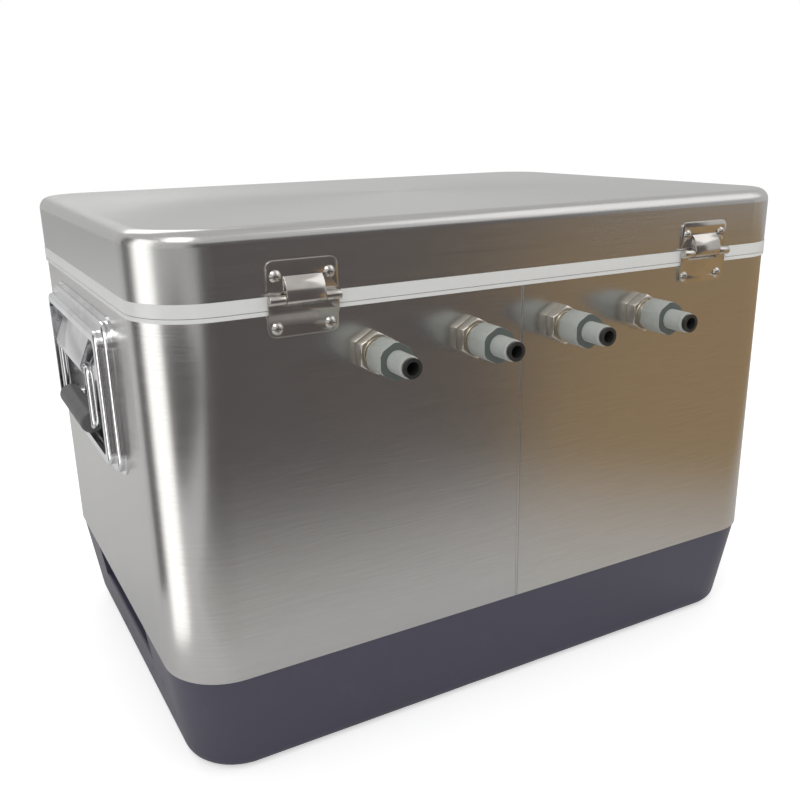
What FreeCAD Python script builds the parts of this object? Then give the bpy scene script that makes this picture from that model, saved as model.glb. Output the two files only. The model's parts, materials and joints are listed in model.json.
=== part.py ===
"""Jockey box beer cooler: a steel belted cooler with four push-fit inlets at the back,
a cold plate inside and four faucets at the front.

Millimetres. X runs along the width, the hinges are at +Y, the faucets at -Y and Z is up.
The origin is the middle of the footprint, on the floor.
"""
import FreeCAD, Part
import math
import os
import re
import Sketcher

doc = FreeCAD.newDocument("JockeyBox")
sheet = doc.addObject("Spreadsheet::Sheet", "Sizes")

SIZES = {
    # Cooler body
    "body_width": 610,
    "body_depth": 430,
    "corner_radius": 50,
    "belt_bottom": 92,
    "belt_height": 279,
    "belt_thickness": 0.8,
    "seam_offset": 2,
    "seam_width": 0.6,
    "seam_depth": 0.4,
    "base_gap": 0.2,
    "base_thickness": 3,
    "base_taper": 12,
    "base_lip": 12,
    "base_edge_radius": 14,
    "recess_width": 184,
    "recess_height": 36,
    "recess_depth": 18,
    "recess_round": 2,
    # Liner and insulation
    "wall_thickness": 40,
    "liner_thickness": 2.5,
    "liner_taper": 5,
    "cavity_radius": 38,
    "floor_height": 54,
    "rim_thickness": 3,
    "rim_proud": 1.5,
    # Lid
    "lid_gap": 0.4,
    "band_height": 9.6,
    "lid_height": 48,
    "lid_proud": 1,
    "lid_skin": 0.9,
    "lid_edge_radius": 11,
    "lid_tuck": 8,
    "plug_depth": 12,
    "plug_gap": 3,
    # Hinges and their screws
    "touch_gap": 0.3,
    "hinge_spacing": 386,
    "pin_rise": 7.5,
    "pin_radius": 1.85,
    "pin_fit": 0.08,
    "knuckle_radius": 3.6,
    "knuckle_width": 29.4,
    "knuckle_gap": 0.6,
    "leaf_width": 54,
    "leaf_reach": 27,
    "leaf_thickness": 1.5,
    "leaf_corner": 6,
    "lid_leaf_gap": 4.5,
    "dome_height": 12,
    "screw_pitch": 40.6,
    "lid_screw_rise": 16,
    "body_screw_drop": 20.5,
    "screw_radius": 2,
    "screw_head_radius": 4.5,
    "screw_head_height": 2.2,
    "screw_fit": 0.1,
    "cross_width": 1.1,
    "cross_length": 5,
    "cross_depth": 1.2,
    # Latch
    "latch_width": 36,
    "latch_leaf_height": 25,
    "latch_screw_pitch": 22,
    "latch_screw_rise": 17,
    "clasp_width": 30,
    "clasp_length": 42,
    "clasp_thickness": 1.5,
    "clasp_lip": 3,
    "latch_knuckle_width": 14,
    "striker_height": 22,
    "striker_drop": 36,
    "striker_screw_pitch": 26,
    "striker_screw_reach": 3.5,
    "nose_height": 3,
    # End handles
    "dish_width": 236,
    "dish_height": 128,
    "dish_drop": 75,
    "dish_corner": 22,
    "dish_sheet": 1.2,
    "bead_inset": 3,
    "bead_height": 7,
    "crest_inset": 10,
    "crest_height": 13,
    "well_inset": 18,
    "well_corner": 6,
    "bead_round": 3,
    "bracket_width": 112,
    "bracket_top_proud": 6,
    "bracket_gap": 1,
    "ear_width": 14,
    "ear_height": 16,
    "bracket_sheet": 1.5,
    "roll_radius": 5,
    "bail_stand": 12,
    "bail_pivot_drop": 48,
    "bail_width": 126,
    "bail_length": 48,
    "bail_radius": 3.25,
    "bail_bend": 6.5,
    "bail_tail": 8,
    "grip_length": 100,
    "grip_radius": 9.5,
    "rivet_radius": 2.4,
    "rivet_head_radius": 4,
    "rivet_head_height": 1.6,
    # Drain
    "drain_rise": 18,
    "drain_radius": 9,
    "drain_bore": 6,
    "drain_flange_radius": 14,
    "drain_flange": 3,
    "drain_neck": 9,
    "drain_nut_across": 26,
    "drain_nut_length": 6,
    "cap_radius": 12.5,
    "cap_length": 12,
    "cap_ribs": 12,
    "rib_radius": 1.2,
    # Inlets, and how far all shanks lie under the belt's top
    "port_drop": 36,
    "inlet_pitch": 87.5,
    "inlet_offset": 8,
    "shank_radius": 11.1,
    "shank_fit": 0.1,
    "shank_inner": 26,
    "inner_flange_radius": 15,
    "inner_flange": 6,
    "nut_across": 28.6,
    "nut_length": 10,
    "thread_show": 6,
    "nose_radius": 8.3,
    "nose_length": 14,
    "adaptor_across": 26.4,
    "adaptor_round": 14,
    "adaptor_length": 22,
    "socket_radius": 8.4,
    "socket_length": 19,
    "collet_radius": 6.3,
    "collet_ring_radius": 7.4,
    "collet_bore": 4.85,
    "collet_depth": 11,
    "collet_ring": 2,
    "collet_travel": 1.5,
    # Cold plate and tubes
    "tube_radius": 4.76,
    "tube_wall": 0.9,
    "tube_seat": 12,
    "tube_bend": 30,
    "tube_lead": 4,
    "plate_width": 340,
    "plate_depth": 264,
    "plate_thickness": 26,
    "plate_corner": 16,
    "plate_foot_height": 5,
    "plate_foot_radius": 14,
    "plate_foot_inset": 30,
    "boss_radius": 10,
    "boss_height": 6,
    # Faucets
    "faucet_pitch": 100,
    "wall_flange_radius": 27,
    "wall_flange": 5,
    "collar_radius": 14.3,
    "collar_length": 9,
    "faucet_flange": 2.2,
    "coupling_radius": 17,
    "coupling_length": 14,
    "chamber_radius": 8,
    "faucet_bore": 4,
    "barrel_radius": 12,
    "barrel_bore": 7.5,
    "barrel_length": 44,
    "nose_cap_length": 6,
    "nose_cap_radius": 9,
    "lever_station": 44,
    "lever_rise": 16,
    "neck_radius": 11,
    "neck_height": 20,
    "ball_radius": 7,
    "ball_fit": 0.3,
    "bonnet_radius": 13.5,
    "bonnet_height": 9,
    "stem_radius": 2.8,
    "stem_height": 16,
    "finger_radius": 1.7,
    "finger_tip": 2.5,
    "lever_thread_radius": 4.7,
    "lever_thread": 12,
    "lever_collar_radius": 6,
    "lever_collar": 3,
    "shaft_radius": 3,
    "shaft_fit": 0.08,
    "shaft_block": 16,
    "shaft_slot": 11,
    "shaft_front": 8,
    "seal_length": 3,
    "seal_gap": 0.6,
    "spout_radius": 8,
    "spout_bore": 5,
    "spout_throat": 3.5,
    "spout_reach": 62,
    "handle_height": 50,
    "handle_foot_radius": 7.5,
    "handle_top_radius": 12.5,
}

for row, (alias, number) in enumerate(SIZES.items(), start=1):
    sheet.set("A%d" % row, alias.replace("_", " "))
    sheet.set("B%d" % row, str(number))
    sheet.setAlias("B%d" % row, alias)
doc.recompute()

# Heights and depths that several pieces share
BELT_TOP = "(belt_bottom + belt_height)"
RIM_TOP = "(belt_bottom + belt_height + rim_thickness)"
BAND_BOTTOM = "(belt_bottom + belt_height + rim_thickness + lid_gap)"
LID_BOTTOM = "(belt_bottom + belt_height + rim_thickness + lid_gap + band_height)"
BASE_FLOOR = "(2 * base_thickness)"
BASE_SKIN = "(belt_thickness + base_gap)"
PIN_HEIGHT = "(belt_bottom + belt_height + rim_thickness + pin_rise)"
PIN_STAND = "(rim_proud + touch_gap + knuckle_radius)"
PORT_HEIGHT = "(belt_bottom + belt_height - port_drop)"
INNER_FACE = ("(wall_thickness + touch_gap + liner_taper * (rim_thickness + port_drop)"
              " / (belt_bottom + belt_height + rim_thickness - floor_height))")
DISH_MIDDLE = "(belt_bottom + belt_height - dish_drop)"
BAIL_HEIGHT = "(belt_bottom + belt_height - dish_drop + dish_height / 2 - bail_pivot_drop)"
DRAIN_HEIGHT = "(floor_height + drain_rise)"
PLATE_TOP = "(floor_height + plate_foot_height + plate_thickness)"
ADAPTOR_START = "(nut_length + thread_show)"
ADAPTOR_END = "(nut_length + thread_show + adaptor_length)"
SOCKET_END = "(nut_length + thread_show + adaptor_length + socket_length)"
TUBE_COLUMN = "(body_depth / 2 - wall_thickness - shank_inner - tube_lead - tube_bend)"
BRACKET_TOP = ("(belt_bottom + belt_height - dish_drop + dish_height / 2 - well_inset"
               " - bracket_gap)")
RIVET_HEIGHT = "(%s - ear_height / 2)" % BRACKET_TOP
RIVET_REACH = "(bracket_width / 2 + ear_width / 2)"
COLLAR_END = "(wall_flange + collar_length)"
BARREL_END = "(wall_flange + collar_length + barrel_length)"

ALIAS = re.compile(r"\b[a-z][a-z_]+\b(?!\()")
parts = []


def value(expression):
    """The number that an expression on the sheet gives."""
    return float(sheet.evalExpression(expression))


def bind(item, path, expression):
    """Tie a property to an expression whose names are the sheet's."""
    item.setExpression(path, ALIAS.sub(lambda found: "Sizes." + found.group(), expression))


def new_body(label):
    body = doc.addObject("PartDesign::Body", label)
    body.Label = label
    parts.append(body)
    return body


def origin(body, role):
    """The origin plane or axis of a body with this role."""
    return [feature for feature in body.Origin.OriginFeatures if feature.Role == role][0]


def new_sketch(body, name, role, height="0", across="0", along="0"):
    """A sketch on an origin plane, moved along its normal and within the plane."""
    sketch = body.newObject("Sketcher::SketchObject", body.Name + "_" + name)
    sketch.AttachmentSupport = (origin(body, role), [""])
    sketch.MapMode = "FlatFace"
    bind(sketch, "AttachmentOffset.Base.x", across)
    bind(sketch, "AttachmentOffset.Base.y", along)
    bind(sketch, "AttachmentOffset.Base.z", height)
    return sketch


def level(body, name, height):
    """A horizontal sketch at a height."""
    return new_sketch(body, name, "XY_Plane", height)


def wall_sketch(body, name, side, across, height, station):
    """A sketch parallel to the front (-1) or back (1) face, a station outside it."""
    normal = "%d * (body_depth / 2 + %s)" % (-side, station)
    return new_sketch(body, name, "XZ_Plane", normal, across, height)


def pin_point(sketch, geometry, point, across, along):
    """Fix a point of a sketch at a place given by two expressions."""
    for kind, expression in (("DistanceX", across), ("DistanceY", along)):
        number = sketch.addConstraint(
            Sketcher.Constraint(kind, -1, 1, geometry, point, value(expression)))
        bind(sketch, "Constraints[%d]" % number, expression)


def outline(sketch, points):
    """A closed outline of straight lines through points given as pairs of expressions."""
    places = [FreeCAD.Vector(value(across), value(along), 0) for across, along in points]
    first = sketch.GeometryCount
    for place, following in zip(places, places[1:] + places[:1]):
        sketch.addGeometry(Part.LineSegment(place, following))
    for index, (across, along) in enumerate(points):
        following = first + (index + 1) % len(points)
        sketch.addConstraint(Sketcher.Constraint("Coincident", first + index, 2, following, 1))
        pin_point(sketch, first + index, 1, across, along)


def circle(sketch, across, along, radius):
    centre = FreeCAD.Vector(value(across), value(along), 0)
    axis = FreeCAD.Vector(0, 0, 1)
    number = sketch.addGeometry(Part.Circle(centre, axis, value(radius)))
    pin_point(sketch, number, 3, across, along)
    size = sketch.addConstraint(Sketcher.Constraint("Radius", number, value(radius)))
    bind(sketch, "Constraints[%d]" % size, radius)


def rounded(sketch, width, height, radius, across="0", along="0"):
    """A rectangle with round corners about a middle point."""
    half_width = value(width) / 2
    half_height = value(height) / 2
    corner = value(radius)
    middle = FreeCAD.Vector(value(across), value(along), 0)
    first = sketch.GeometryCount
    for index in range(4):
        turn = FreeCAD.Rotation(FreeCAD.Vector(0, 0, 1), 90 * index)
        run, rise = (half_width, half_height) if index % 2 == 0 else (half_height, half_width)
        start = middle + turn.multVec(FreeCAD.Vector(corner - run, -rise, 0))
        end = middle + turn.multVec(FreeCAD.Vector(run - corner, -rise, 0))
        bulge = middle + turn.multVec(FreeCAD.Vector(run - corner, corner - rise, 0))
        sketch.addGeometry(Part.LineSegment(start, end))
        round_corner = Part.Circle(bulge, FreeCAD.Vector(0, 0, 1), corner)
        angle = math.radians(90 * index - 90)
        sketch.addGeometry(Part.ArcOfCircle(round_corner, angle, angle + math.pi / 2))
    for index in range(4):
        line = first + 2 * index
        arc = line + 1
        following = first + (2 * index + 2) % 8
        sketch.addConstraint(Sketcher.Constraint("Tangent", line, 2, arc, 1))
        sketch.addConstraint(Sketcher.Constraint("Tangent", arc, 2, following, 1))
        kind = "Horizontal" if index % 2 == 0 else "Vertical"
        sketch.addConstraint(Sketcher.Constraint(kind, line))
        if index:
            sketch.addConstraint(Sketcher.Constraint("Equal", first + 1, arc))
    size = sketch.addConstraint(Sketcher.Constraint("Radius", first + 1, corner))
    bind(sketch, "Constraints[%d]" % size, radius)
    edges = (
        ("DistanceY", 0, "%s - (%s) / 2" % (along, height)),
        ("DistanceX", 2, "%s + (%s) / 2" % (across, width)),
        ("DistanceY", 4, "%s + (%s) / 2" % (along, height)),
        ("DistanceX", 6, "%s - (%s) / 2" % (across, width)),
    )
    for kind, line, expression in edges:
        number = sketch.addConstraint(
            Sketcher.Constraint(kind, -1, 1, first + line, 1, value(expression)))
        bind(sketch, "Constraints[%d]" % number, expression)


def hexagon(sketch, across_flats, across="0", along="0"):
    """A hexagon with a corner at its top."""
    half = "(%s) / 2" % across_flats
    corner = "(%s) / sqrt(3)" % across_flats
    turns = ((0, 1), (-1, 0.5), (-1, -0.5), (0, -1), (1, -0.5), (1, 0.5))
    outline(sketch, [("%s + %g * %s" % (across, right, half),
                      "%s + %g * %s" % (along, up, corner)) for right, up in turns])


def cut_volume(body, feature):
    """Recompute a feature that takes material away, and stop if it took none."""
    before = feature.BaseFeature.Shape.Volume
    doc.recompute()
    if not feature.Shape.Volume < before - 1e-3:
        raise RuntimeError("%s cuts nothing" % feature.Name)
    return feature


def pad(body, sketch, length, reversed_way=False, both_ways=False):
    feature = body.newObject("PartDesign::Pad", sketch.Name + "_pad")
    feature.Profile = sketch
    bind(feature, "Length", length)
    feature.Reversed = reversed_way
    if both_ways:
        feature.SideType = "Symmetric"
    doc.recompute()
    return feature


def pocket(body, sketch, length=None, reversed_way=False, both_ways=False):
    """Cut a sketch to a depth, or all the way where no depth is given."""
    feature = body.newObject("PartDesign::Pocket", sketch.Name + "_pocket")
    feature.Profile = sketch
    feature.Reversed = reversed_way
    if length is None:
        feature.Type = "ThroughAll"
    else:
        bind(feature, "Length", length)
    if both_ways:
        feature.SideType = "Symmetric"
    return cut_volume(body, feature)


def revolve(body, sketch, axis="H_Axis", cut=False):
    kind = "PartDesign::Groove" if cut else "PartDesign::Revolution"
    feature = body.newObject(kind, sketch.Name + "_turned")
    feature.Profile = sketch
    feature.ReferenceAxis = (sketch, [axis])
    feature.Angle = 360
    if cut:
        return cut_volume(body, feature)
    doc.recompute()
    return feature


def loft(body, sketches, cut=False):
    """A loft with flat sides through level sketches, given and joined from the top down."""
    kind = "PartDesign::SubtractiveLoft" if cut else "PartDesign::AdditiveLoft"
    feature = body.newObject(kind, sketches[0].Name + "_loft")
    feature.Profile = sketches[0]
    feature.Sections = sketches[1:]
    feature.Ruled = True
    if cut:
        return cut_volume(body, feature)
    doc.recompute()
    return feature


def pipe(body, profile, spine, cut=False):
    """Sweep a profile along a spine."""
    kind = "PartDesign::SubtractivePipe" if cut else "PartDesign::AdditivePipe"
    feature = body.newObject(kind, profile.Name + "_pipe")
    feature.Profile = profile
    feature.Spine = (spine, ["Edge%d" % (number + 1) for number in range(spine.GeometryCount)])
    if cut:
        return cut_volume(body, feature)
    doc.recompute()
    return feature


def edge_names(shape, wanted):
    """Names of the edges whose ends and middle all pass a test on a point."""
    names = []
    for number, edge in enumerate(shape.Edges, start=1):
        middle = edge.valueAt((edge.FirstParameter + edge.LastParameter) / 2)
        points = [vertex.Point for vertex in edge.Vertexes] + [middle]
        if all(wanted(point) for point in points):
            names.append("Edge%d" % number)
    return names


def near(number, expression):
    return abs(number - value(expression)) < 1e-4


def fillet(body, radius, wanted):
    base = body.Tip
    feature = body.newObject("PartDesign::Fillet", base.Name + "_fillet")
    feature.Base = (base, edge_names(base.Shape, wanted))
    bind(feature, "Radius", radius)
    doc.recompute()
    return feature


def row_of(body, feature, step, count):
    """Repeat features along X, a step apart."""
    pattern = body.newObject("PartDesign::LinearPattern", body.Name + "_row")
    pattern.Originals = [feature] if not isinstance(feature, list) else feature
    pattern.Direction = (origin(body, "X_Axis"), [""])
    bind(pattern, "Length", "(%s) * %d" % (step, count - 1))
    pattern.Occurrences = count
    body.Tip = pattern
    doc.recompute()
    return pattern


def ring_of(body, features, role, count):
    """Repeat features round an origin axis."""
    pattern = body.newObject("PartDesign::PolarPattern", body.Name + "_ring")
    pattern.Originals = features
    pattern.Axis = (origin(body, role), [""])
    pattern.Angle = 360
    pattern.Occurrences = count
    body.Tip = pattern
    doc.recompute()
    return pattern


def turned(body, name, side, across, height, points, cut=False):
    """A piece turned about an axis square to the front (-1) or back (1) face.

    Its points are pairs of station, outward from the face, and radius.
    """
    face = "%d * body_depth / 2" % side
    sketch = new_sketch(body, name, "YZ_Plane", across, face, height)
    outline(sketch, [("%d * (%s)" % (side, station), radius) for station, radius in points])
    return revolve(body, sketch, cut=cut)


FRONT = -1
BACK = 1
INLET_FIRST = "(inlet_offset - 1.5 * inlet_pitch)"
FAUCET_FIRST = "(-1.5 * faucet_pitch)"
PORTS = ((BACK, INLET_FIRST, "inlet_pitch"), (FRONT, FAUCET_FIRST, "faucet_pitch"))


def bore_wall(body, radius):
    """Cut the eight shank holes through the front and back walls."""
    for side, first, step in PORTS:
        sketch = new_sketch(body, "ports%d" % (side + 1), "XZ_Plane")
        for index in range(4):
            circle(sketch, "%s + %d * %s" % (first, index, step), PORT_HEIGHT, radius)
        pocket(body, sketch, reversed_way=side == FRONT)


def bore_drain(body, radius):
    """Cut the drain's hole through the wall at -X."""
    sketch = new_sketch(body, "drain", "YZ_Plane")
    circle(sketch, "0", DRAIN_HEIGHT, radius)
    pocket(body, sketch)


def tub_section(body, name, height, inset, radius):
    """A level rounded rectangle, an inset inside the belt's outer face."""
    sketch = level(body, name, height)
    width = "body_width - 2 * (%s)" % inset
    depth = "body_depth - 2 * (%s)" % inset
    rounded(sketch, width, depth, radius)
    return sketch


def base_tub():
    """The moulded base: a tapered tray with a grip recess in each end."""
    body = new_body("base_tub")
    joint_top = "belt_bottom + base_lip"
    outer = [
        tub_section(body, "lip", joint_top, BASE_SKIN, "corner_radius - " + BASE_SKIN),
        tub_section(body, "shoulder", "belt_bottom", BASE_SKIN, "corner_radius - " + BASE_SKIN),
        tub_section(body, "foot", "0", BASE_SKIN + " + base_taper", "corner_radius - 3"),
    ]
    loft(body, outer)
    fillet(body, "base_edge_radius", lambda point: near(point.z, "0"))
    inset = BASE_SKIN + " + base_thickness"
    radius = "corner_radius - " + BASE_SKIN + " - base_thickness"
    inner = [
        tub_section(body, "inner_lip", joint_top, inset, radius),
        tub_section(body, "inner_shoulder", "belt_bottom", inset, radius),
        tub_section(body, "floor", BASE_FLOOR, inset + " + base_taper", radius + " - 3"),
    ]
    loft(body, inner, cut=True)
    for end in (-1, 1):
        grip_recess(body, end)
    fillet(body, "recess_round",
           lambda point: near(point.z, "belt_bottom - recess_height")
           and abs(point.x) > value("body_width / 2 - recess_depth / 2"))
    bore_drain(body, "drain_radius + shank_fit")
    return body


def end_box(body, name, end, inner, outer, bottom, top, width):
    """A sketch on the middle plane of a box at an end, and the box's width."""
    sketch = new_sketch(body, name, "XZ_Plane")
    corners = ((inner, bottom), (outer, bottom), (outer, top), (inner, top))
    outline(sketch, [("%d * (%s)" % (end, across), along) for across, along in corners])
    return sketch, width


def grip_recess(body, end):
    """A finger recess under the belt, with walls round it."""
    face = "body_width / 2 - " + BASE_SKIN
    floor = "belt_bottom - recess_height"
    back = face + " - recess_depth"
    slope = "base_taper * recess_height / belt_bottom"
    box, width = end_box(body, "recess_wall%d" % (end + 1), end, back + " - base_thickness",
                         face + " - " + slope + " - base_thickness / 2",
                         floor + " - base_thickness", "belt_bottom + base_thickness",
                         "recess_width + 2 * base_thickness")
    pad(body, box, width, both_ways=True)
    hollow, width = end_box(body, "recess%d" % (end + 1), end, back, "body_width / 2", floor,
                            "belt_bottom", "recess_width")
    pocket(body, hollow, width, both_ways=True)


def steel_belt():
    """The sheet steel belt round the body, with a lap seam up the back."""
    body = new_body("steel_belt")
    ring = tub_section(body, "outline", "belt_bottom", "0", "corner_radius")
    rounded(ring, "body_width - 2 * belt_thickness", "body_depth - 2 * belt_thickness",
            "corner_radius - belt_thickness")
    pad(body, ring, "belt_height")
    seam = level(body, "seam", "belt_bottom")
    face = "body_depth / 2"
    left = "seam_offset - seam_width / 2"
    right = "seam_offset + seam_width / 2"
    outline(seam, [(left, face + " - seam_depth"), (right, face + " - seam_depth"),
                   (right, face + " + seam_depth"), (left, face + " + seam_depth")])
    pocket(body, seam, "belt_height", reversed_way=True)
    bore_wall(body, "shank_radius + shank_fit")
    screws = new_sketch(body, "hinge_screws", "XZ_Plane")
    for across in hinge_screw_places():
        circle(screws, across, PIN_HEIGHT + " - body_screw_drop", "screw_radius + screw_fit")
    pocket(body, screws)
    catches = new_sketch(body, "striker_screws", "XZ_Plane")
    for turn in (-1, 1):
        circle(catches, "%d * striker_screw_pitch / 2" % turn, PIN_HEIGHT + " - striker_drop",
               "screw_radius + screw_fit")
    pocket(body, catches, reversed_way=True)
    for end in (-1, 1):
        rivets = new_sketch(body, "rivets%d" % (end + 1), "YZ_Plane")
        for turn in (-1, 1):
            circle(rivets, "%d * %s" % (turn, RIVET_REACH), RIVET_HEIGHT,
                   "rivet_radius + screw_fit")
        pocket(body, rivets, reversed_way=end == 1)
    return body


def inner_liner():
    """The white liner: a tapered tub with a flat rim over the belt's top edge."""
    body = new_body("inner_liner")
    thinner = "wall_thickness - liner_thickness"
    outer_radius = "cavity_radius + liner_thickness"
    outer = [
        tub_section(body, "top", BELT_TOP, thinner, outer_radius),
        tub_section(body, "under", "floor_height - liner_thickness",
                    thinner + " + liner_taper", outer_radius),
    ]
    loft(body, outer)
    rim = tub_section(body, "rim", BELT_TOP, "-rim_proud", "corner_radius + rim_proud")
    pad(body, rim, "rim_thickness")
    inner = [
        tub_section(body, "mouth", RIM_TOP, "wall_thickness", "cavity_radius"),
        tub_section(body, "floor", "floor_height", "wall_thickness + liner_taper",
                    "cavity_radius"),
    ]
    loft(body, inner, cut=True)
    bore_wall(body, "shank_radius + shank_fit")
    bore_drain(body, "drain_radius + shank_fit")
    return body


def foam_insulation():
    """Foam between the liner and the base and belt."""
    body = new_body("foam_insulation")
    inset = BASE_SKIN + " + base_thickness"
    radius = "corner_radius - " + BASE_SKIN + " - base_thickness"
    joint_top = "belt_bottom + base_lip"
    lower = [
        tub_section(body, "lip", joint_top, inset, radius),
        tub_section(body, "shoulder", "belt_bottom", inset, radius),
        tub_section(body, "floor", BASE_FLOOR, inset + " + base_taper", radius + " - 3"),
    ]
    loft(body, lower)
    upper = tub_section(body, "upper", joint_top, "belt_thickness",
                        "corner_radius - belt_thickness")
    pad(body, upper, BELT_TOP + " - (%s)" % joint_top)
    thinner = "wall_thickness - liner_thickness"
    hollow_radius = "cavity_radius + liner_thickness"
    hollow = [
        tub_section(body, "top", BELT_TOP, thinner, hollow_radius),
        tub_section(body, "under", "floor_height - liner_thickness",
                    thinner + " + liner_taper", hollow_radius),
    ]
    loft(body, hollow, cut=True)
    for end in (-1, 1):
        face = "body_width / 2 - " + BASE_SKIN
        box, width = end_box(body, "recess%d" % (end + 1), end,
                             face + " - recess_depth - base_thickness", "body_width / 2",
                             "belt_bottom - recess_height - base_thickness",
                             "belt_bottom + base_thickness", "recess_width + 2 * base_thickness")
        pocket(body, box, width, both_ways=True)
    bore_wall(body, "shank_radius + shank_fit")
    bore_drain(body, "drain_radius + shank_fit")
    saw_foam(body)
    return body


def saw_foam(body):
    """Part the foam into a floor board, two long boards and end boards of two pieces each."""
    recess_floor = "belt_bottom - recess_height - base_thickness"
    recess_roof = "belt_bottom + base_thickness"
    joint = "wall_thickness - liner_thickness + liner_taper"
    side = "body_width / 2"
    inner = "body_depth / 2 - (%s)" % joint
    for name, height, edge in (("floor_cut", recess_floor, "body_depth / 2"),
                               ("end_cut", recess_roof, inner)):
        cut = level(body, name, height)
        outline(cut, [("-" + side, "-(%s)" % edge), (side, "-(%s)" % edge), (side, edge),
                      ("-" + side, edge)])
        pocket(body, cut, "touch_gap", reversed_way=True)
    for end in (-1, 1):
        cut = level(body, "long_cut%d" % (end + 1), BELT_TOP)
        start = "%d * (%s)" % (end, inner)
        stop = "%d * (%s - touch_gap)" % (end, inner)
        outline(cut, [("-" + side, start), (side, start), (side, stop), ("-" + side, stop)])
        pocket(body, cut, BELT_TOP + " - (%s)" % recess_floor)


def lid_shell():
    """The pressed steel lid skin, open underneath."""
    body = new_body("lid_shell")
    outer = tub_section(body, "outline", LID_BOTTOM, "-lid_proud", "corner_radius + lid_proud")
    pad(body, outer, "lid_height")
    top = LID_BOTTOM + " + lid_height"
    fillet(body, "lid_edge_radius", lambda point: near(point.z, top))
    base = body.Tip
    open_face = ["Face%d" % number for number, face in enumerate(base.Shape.Faces, start=1)
                 if near(face.BoundBox.ZMax, LID_BOTTOM)]
    skin = body.newObject("PartDesign::Thickness", "lid_shell_skin")
    skin.Base = (base, open_face)
    bind(skin, "Value", "lid_skin")
    skin.Reversed = True
    cut_volume(body, skin)
    screws = new_sketch(body, "screws", "XZ_Plane")
    for across in hinge_screw_places():
        circle(screws, across, PIN_HEIGHT + " + lid_screw_rise", "screw_radius + screw_fit")
    pocket(body, screws)
    catches = new_sketch(body, "latch_screws", "XZ_Plane")
    for turn in (-1, 1):
        circle(catches, "%d * latch_screw_pitch / 2" % turn, PIN_HEIGHT + " + latch_screw_rise",
               "screw_radius + screw_fit")
    pocket(body, catches, reversed_way=True)
    return body


def lid_liner():
    """The white underside of the lid: a band, a plug that drops into the mouth and a tuck."""
    body = new_body("lid_liner")
    band = tub_section(body, "band", BAND_BOTTOM, "-rim_proud", "corner_radius + rim_proud")
    pad(body, band, "band_height")
    tuck_inset = "lid_skin - lid_proud + base_gap"
    tuck = tub_section(body, "tuck", LID_BOTTOM, tuck_inset, "corner_radius - base_gap")
    pad(body, tuck, "lid_tuck")
    plug_inset = "wall_thickness + plug_gap"
    plug = tub_section(body, "plug", BAND_BOTTOM, plug_inset, "cavity_radius - plug_gap")
    pad(body, plug, "plug_depth", reversed_way=True)
    tuck_top = LID_BOTTOM + " + lid_tuck"
    hollow = tub_section(body, "hollow", tuck_top, tuck_inset + " + liner_thickness",
                         "corner_radius - base_gap - liner_thickness")
    pocket(body, hollow, "lid_tuck + band_height - liner_thickness")
    deep = tub_section(body, "deep", tuck_top, plug_inset + " + liner_thickness",
                       "cavity_radius - plug_gap - liner_thickness")
    pocket(body, deep, "lid_tuck + band_height + plug_depth - liner_thickness")
    return body


def lid_foam():
    """Foam that fills the lid between its skin and its liner."""
    body = new_body("lid_foam")
    tuck_inset = "lid_skin - lid_proud + base_gap"
    top = LID_BOTTOM + " + lid_height - lid_skin"
    upper = tub_section(body, "upper", LID_BOTTOM + " + lid_tuck", "lid_skin - lid_proud",
                        "corner_radius + lid_proud - lid_skin")
    pad(body, upper, "lid_height - lid_skin - lid_tuck")
    fillet(body, "lid_edge_radius - lid_skin", lambda point: near(point.z, top))
    middle = tub_section(body, "middle", LID_BOTTOM + " + lid_tuck",
                         tuck_inset + " + liner_thickness",
                         "corner_radius - base_gap - liner_thickness")
    pad(body, middle, "lid_tuck + band_height - liner_thickness", reversed_way=True)
    plug = tub_section(body, "plug", BAND_BOTTOM + " + liner_thickness",
                       "wall_thickness + plug_gap + liner_thickness",
                       "cavity_radius - plug_gap - liner_thickness")
    pad(body, plug, "plug_depth", reversed_way=True)
    return body


def hinge_screw_places():
    """Where the screws of both hinges are across the back."""
    return ["%d * hinge_spacing / 2 + %d * screw_pitch / 2" % (hinge, turn)
            for hinge in (-1, 1) for turn in (-1, 1)]


def leaf_plate(body, side, stand, bottom, top, width, thickness, across):
    """A flat leaf against a face with its two far corners rounded."""
    sketch = wall_sketch(body, "plate", side, across, "0", stand)
    half = "(%s) / 2" % width
    outline(sketch, [("-" + half, bottom), (half, bottom), (half, top), ("-" + half, top)])
    return pad(body, sketch, thickness, reversed_way=side == BACK)


def knuckle(body, side, name, stand, height, radius, bore, width, across):
    """A rolled eye of a leaf about a pin that runs along X."""
    face = "%d * (body_depth / 2 + %s)" % (side, stand)
    sketch = new_sketch(body, name, "YZ_Plane", across, face, height)
    circle(sketch, "0", "0", radius)
    circle(sketch, "0", "0", bore)
    return pad(body, sketch, width, both_ways=True)


def strap(body, side, name, points, width, across):
    """A bent strap that joins a leaf to its eye, drawn from the side."""
    face = "%d * body_depth / 2" % side
    sketch = new_sketch(body, name, "YZ_Plane", across, face)
    outline(sketch, [("%d * (%s)" % (side, out), up) for out, up in points])
    return pad(body, sketch, width, both_ways=True)


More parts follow.
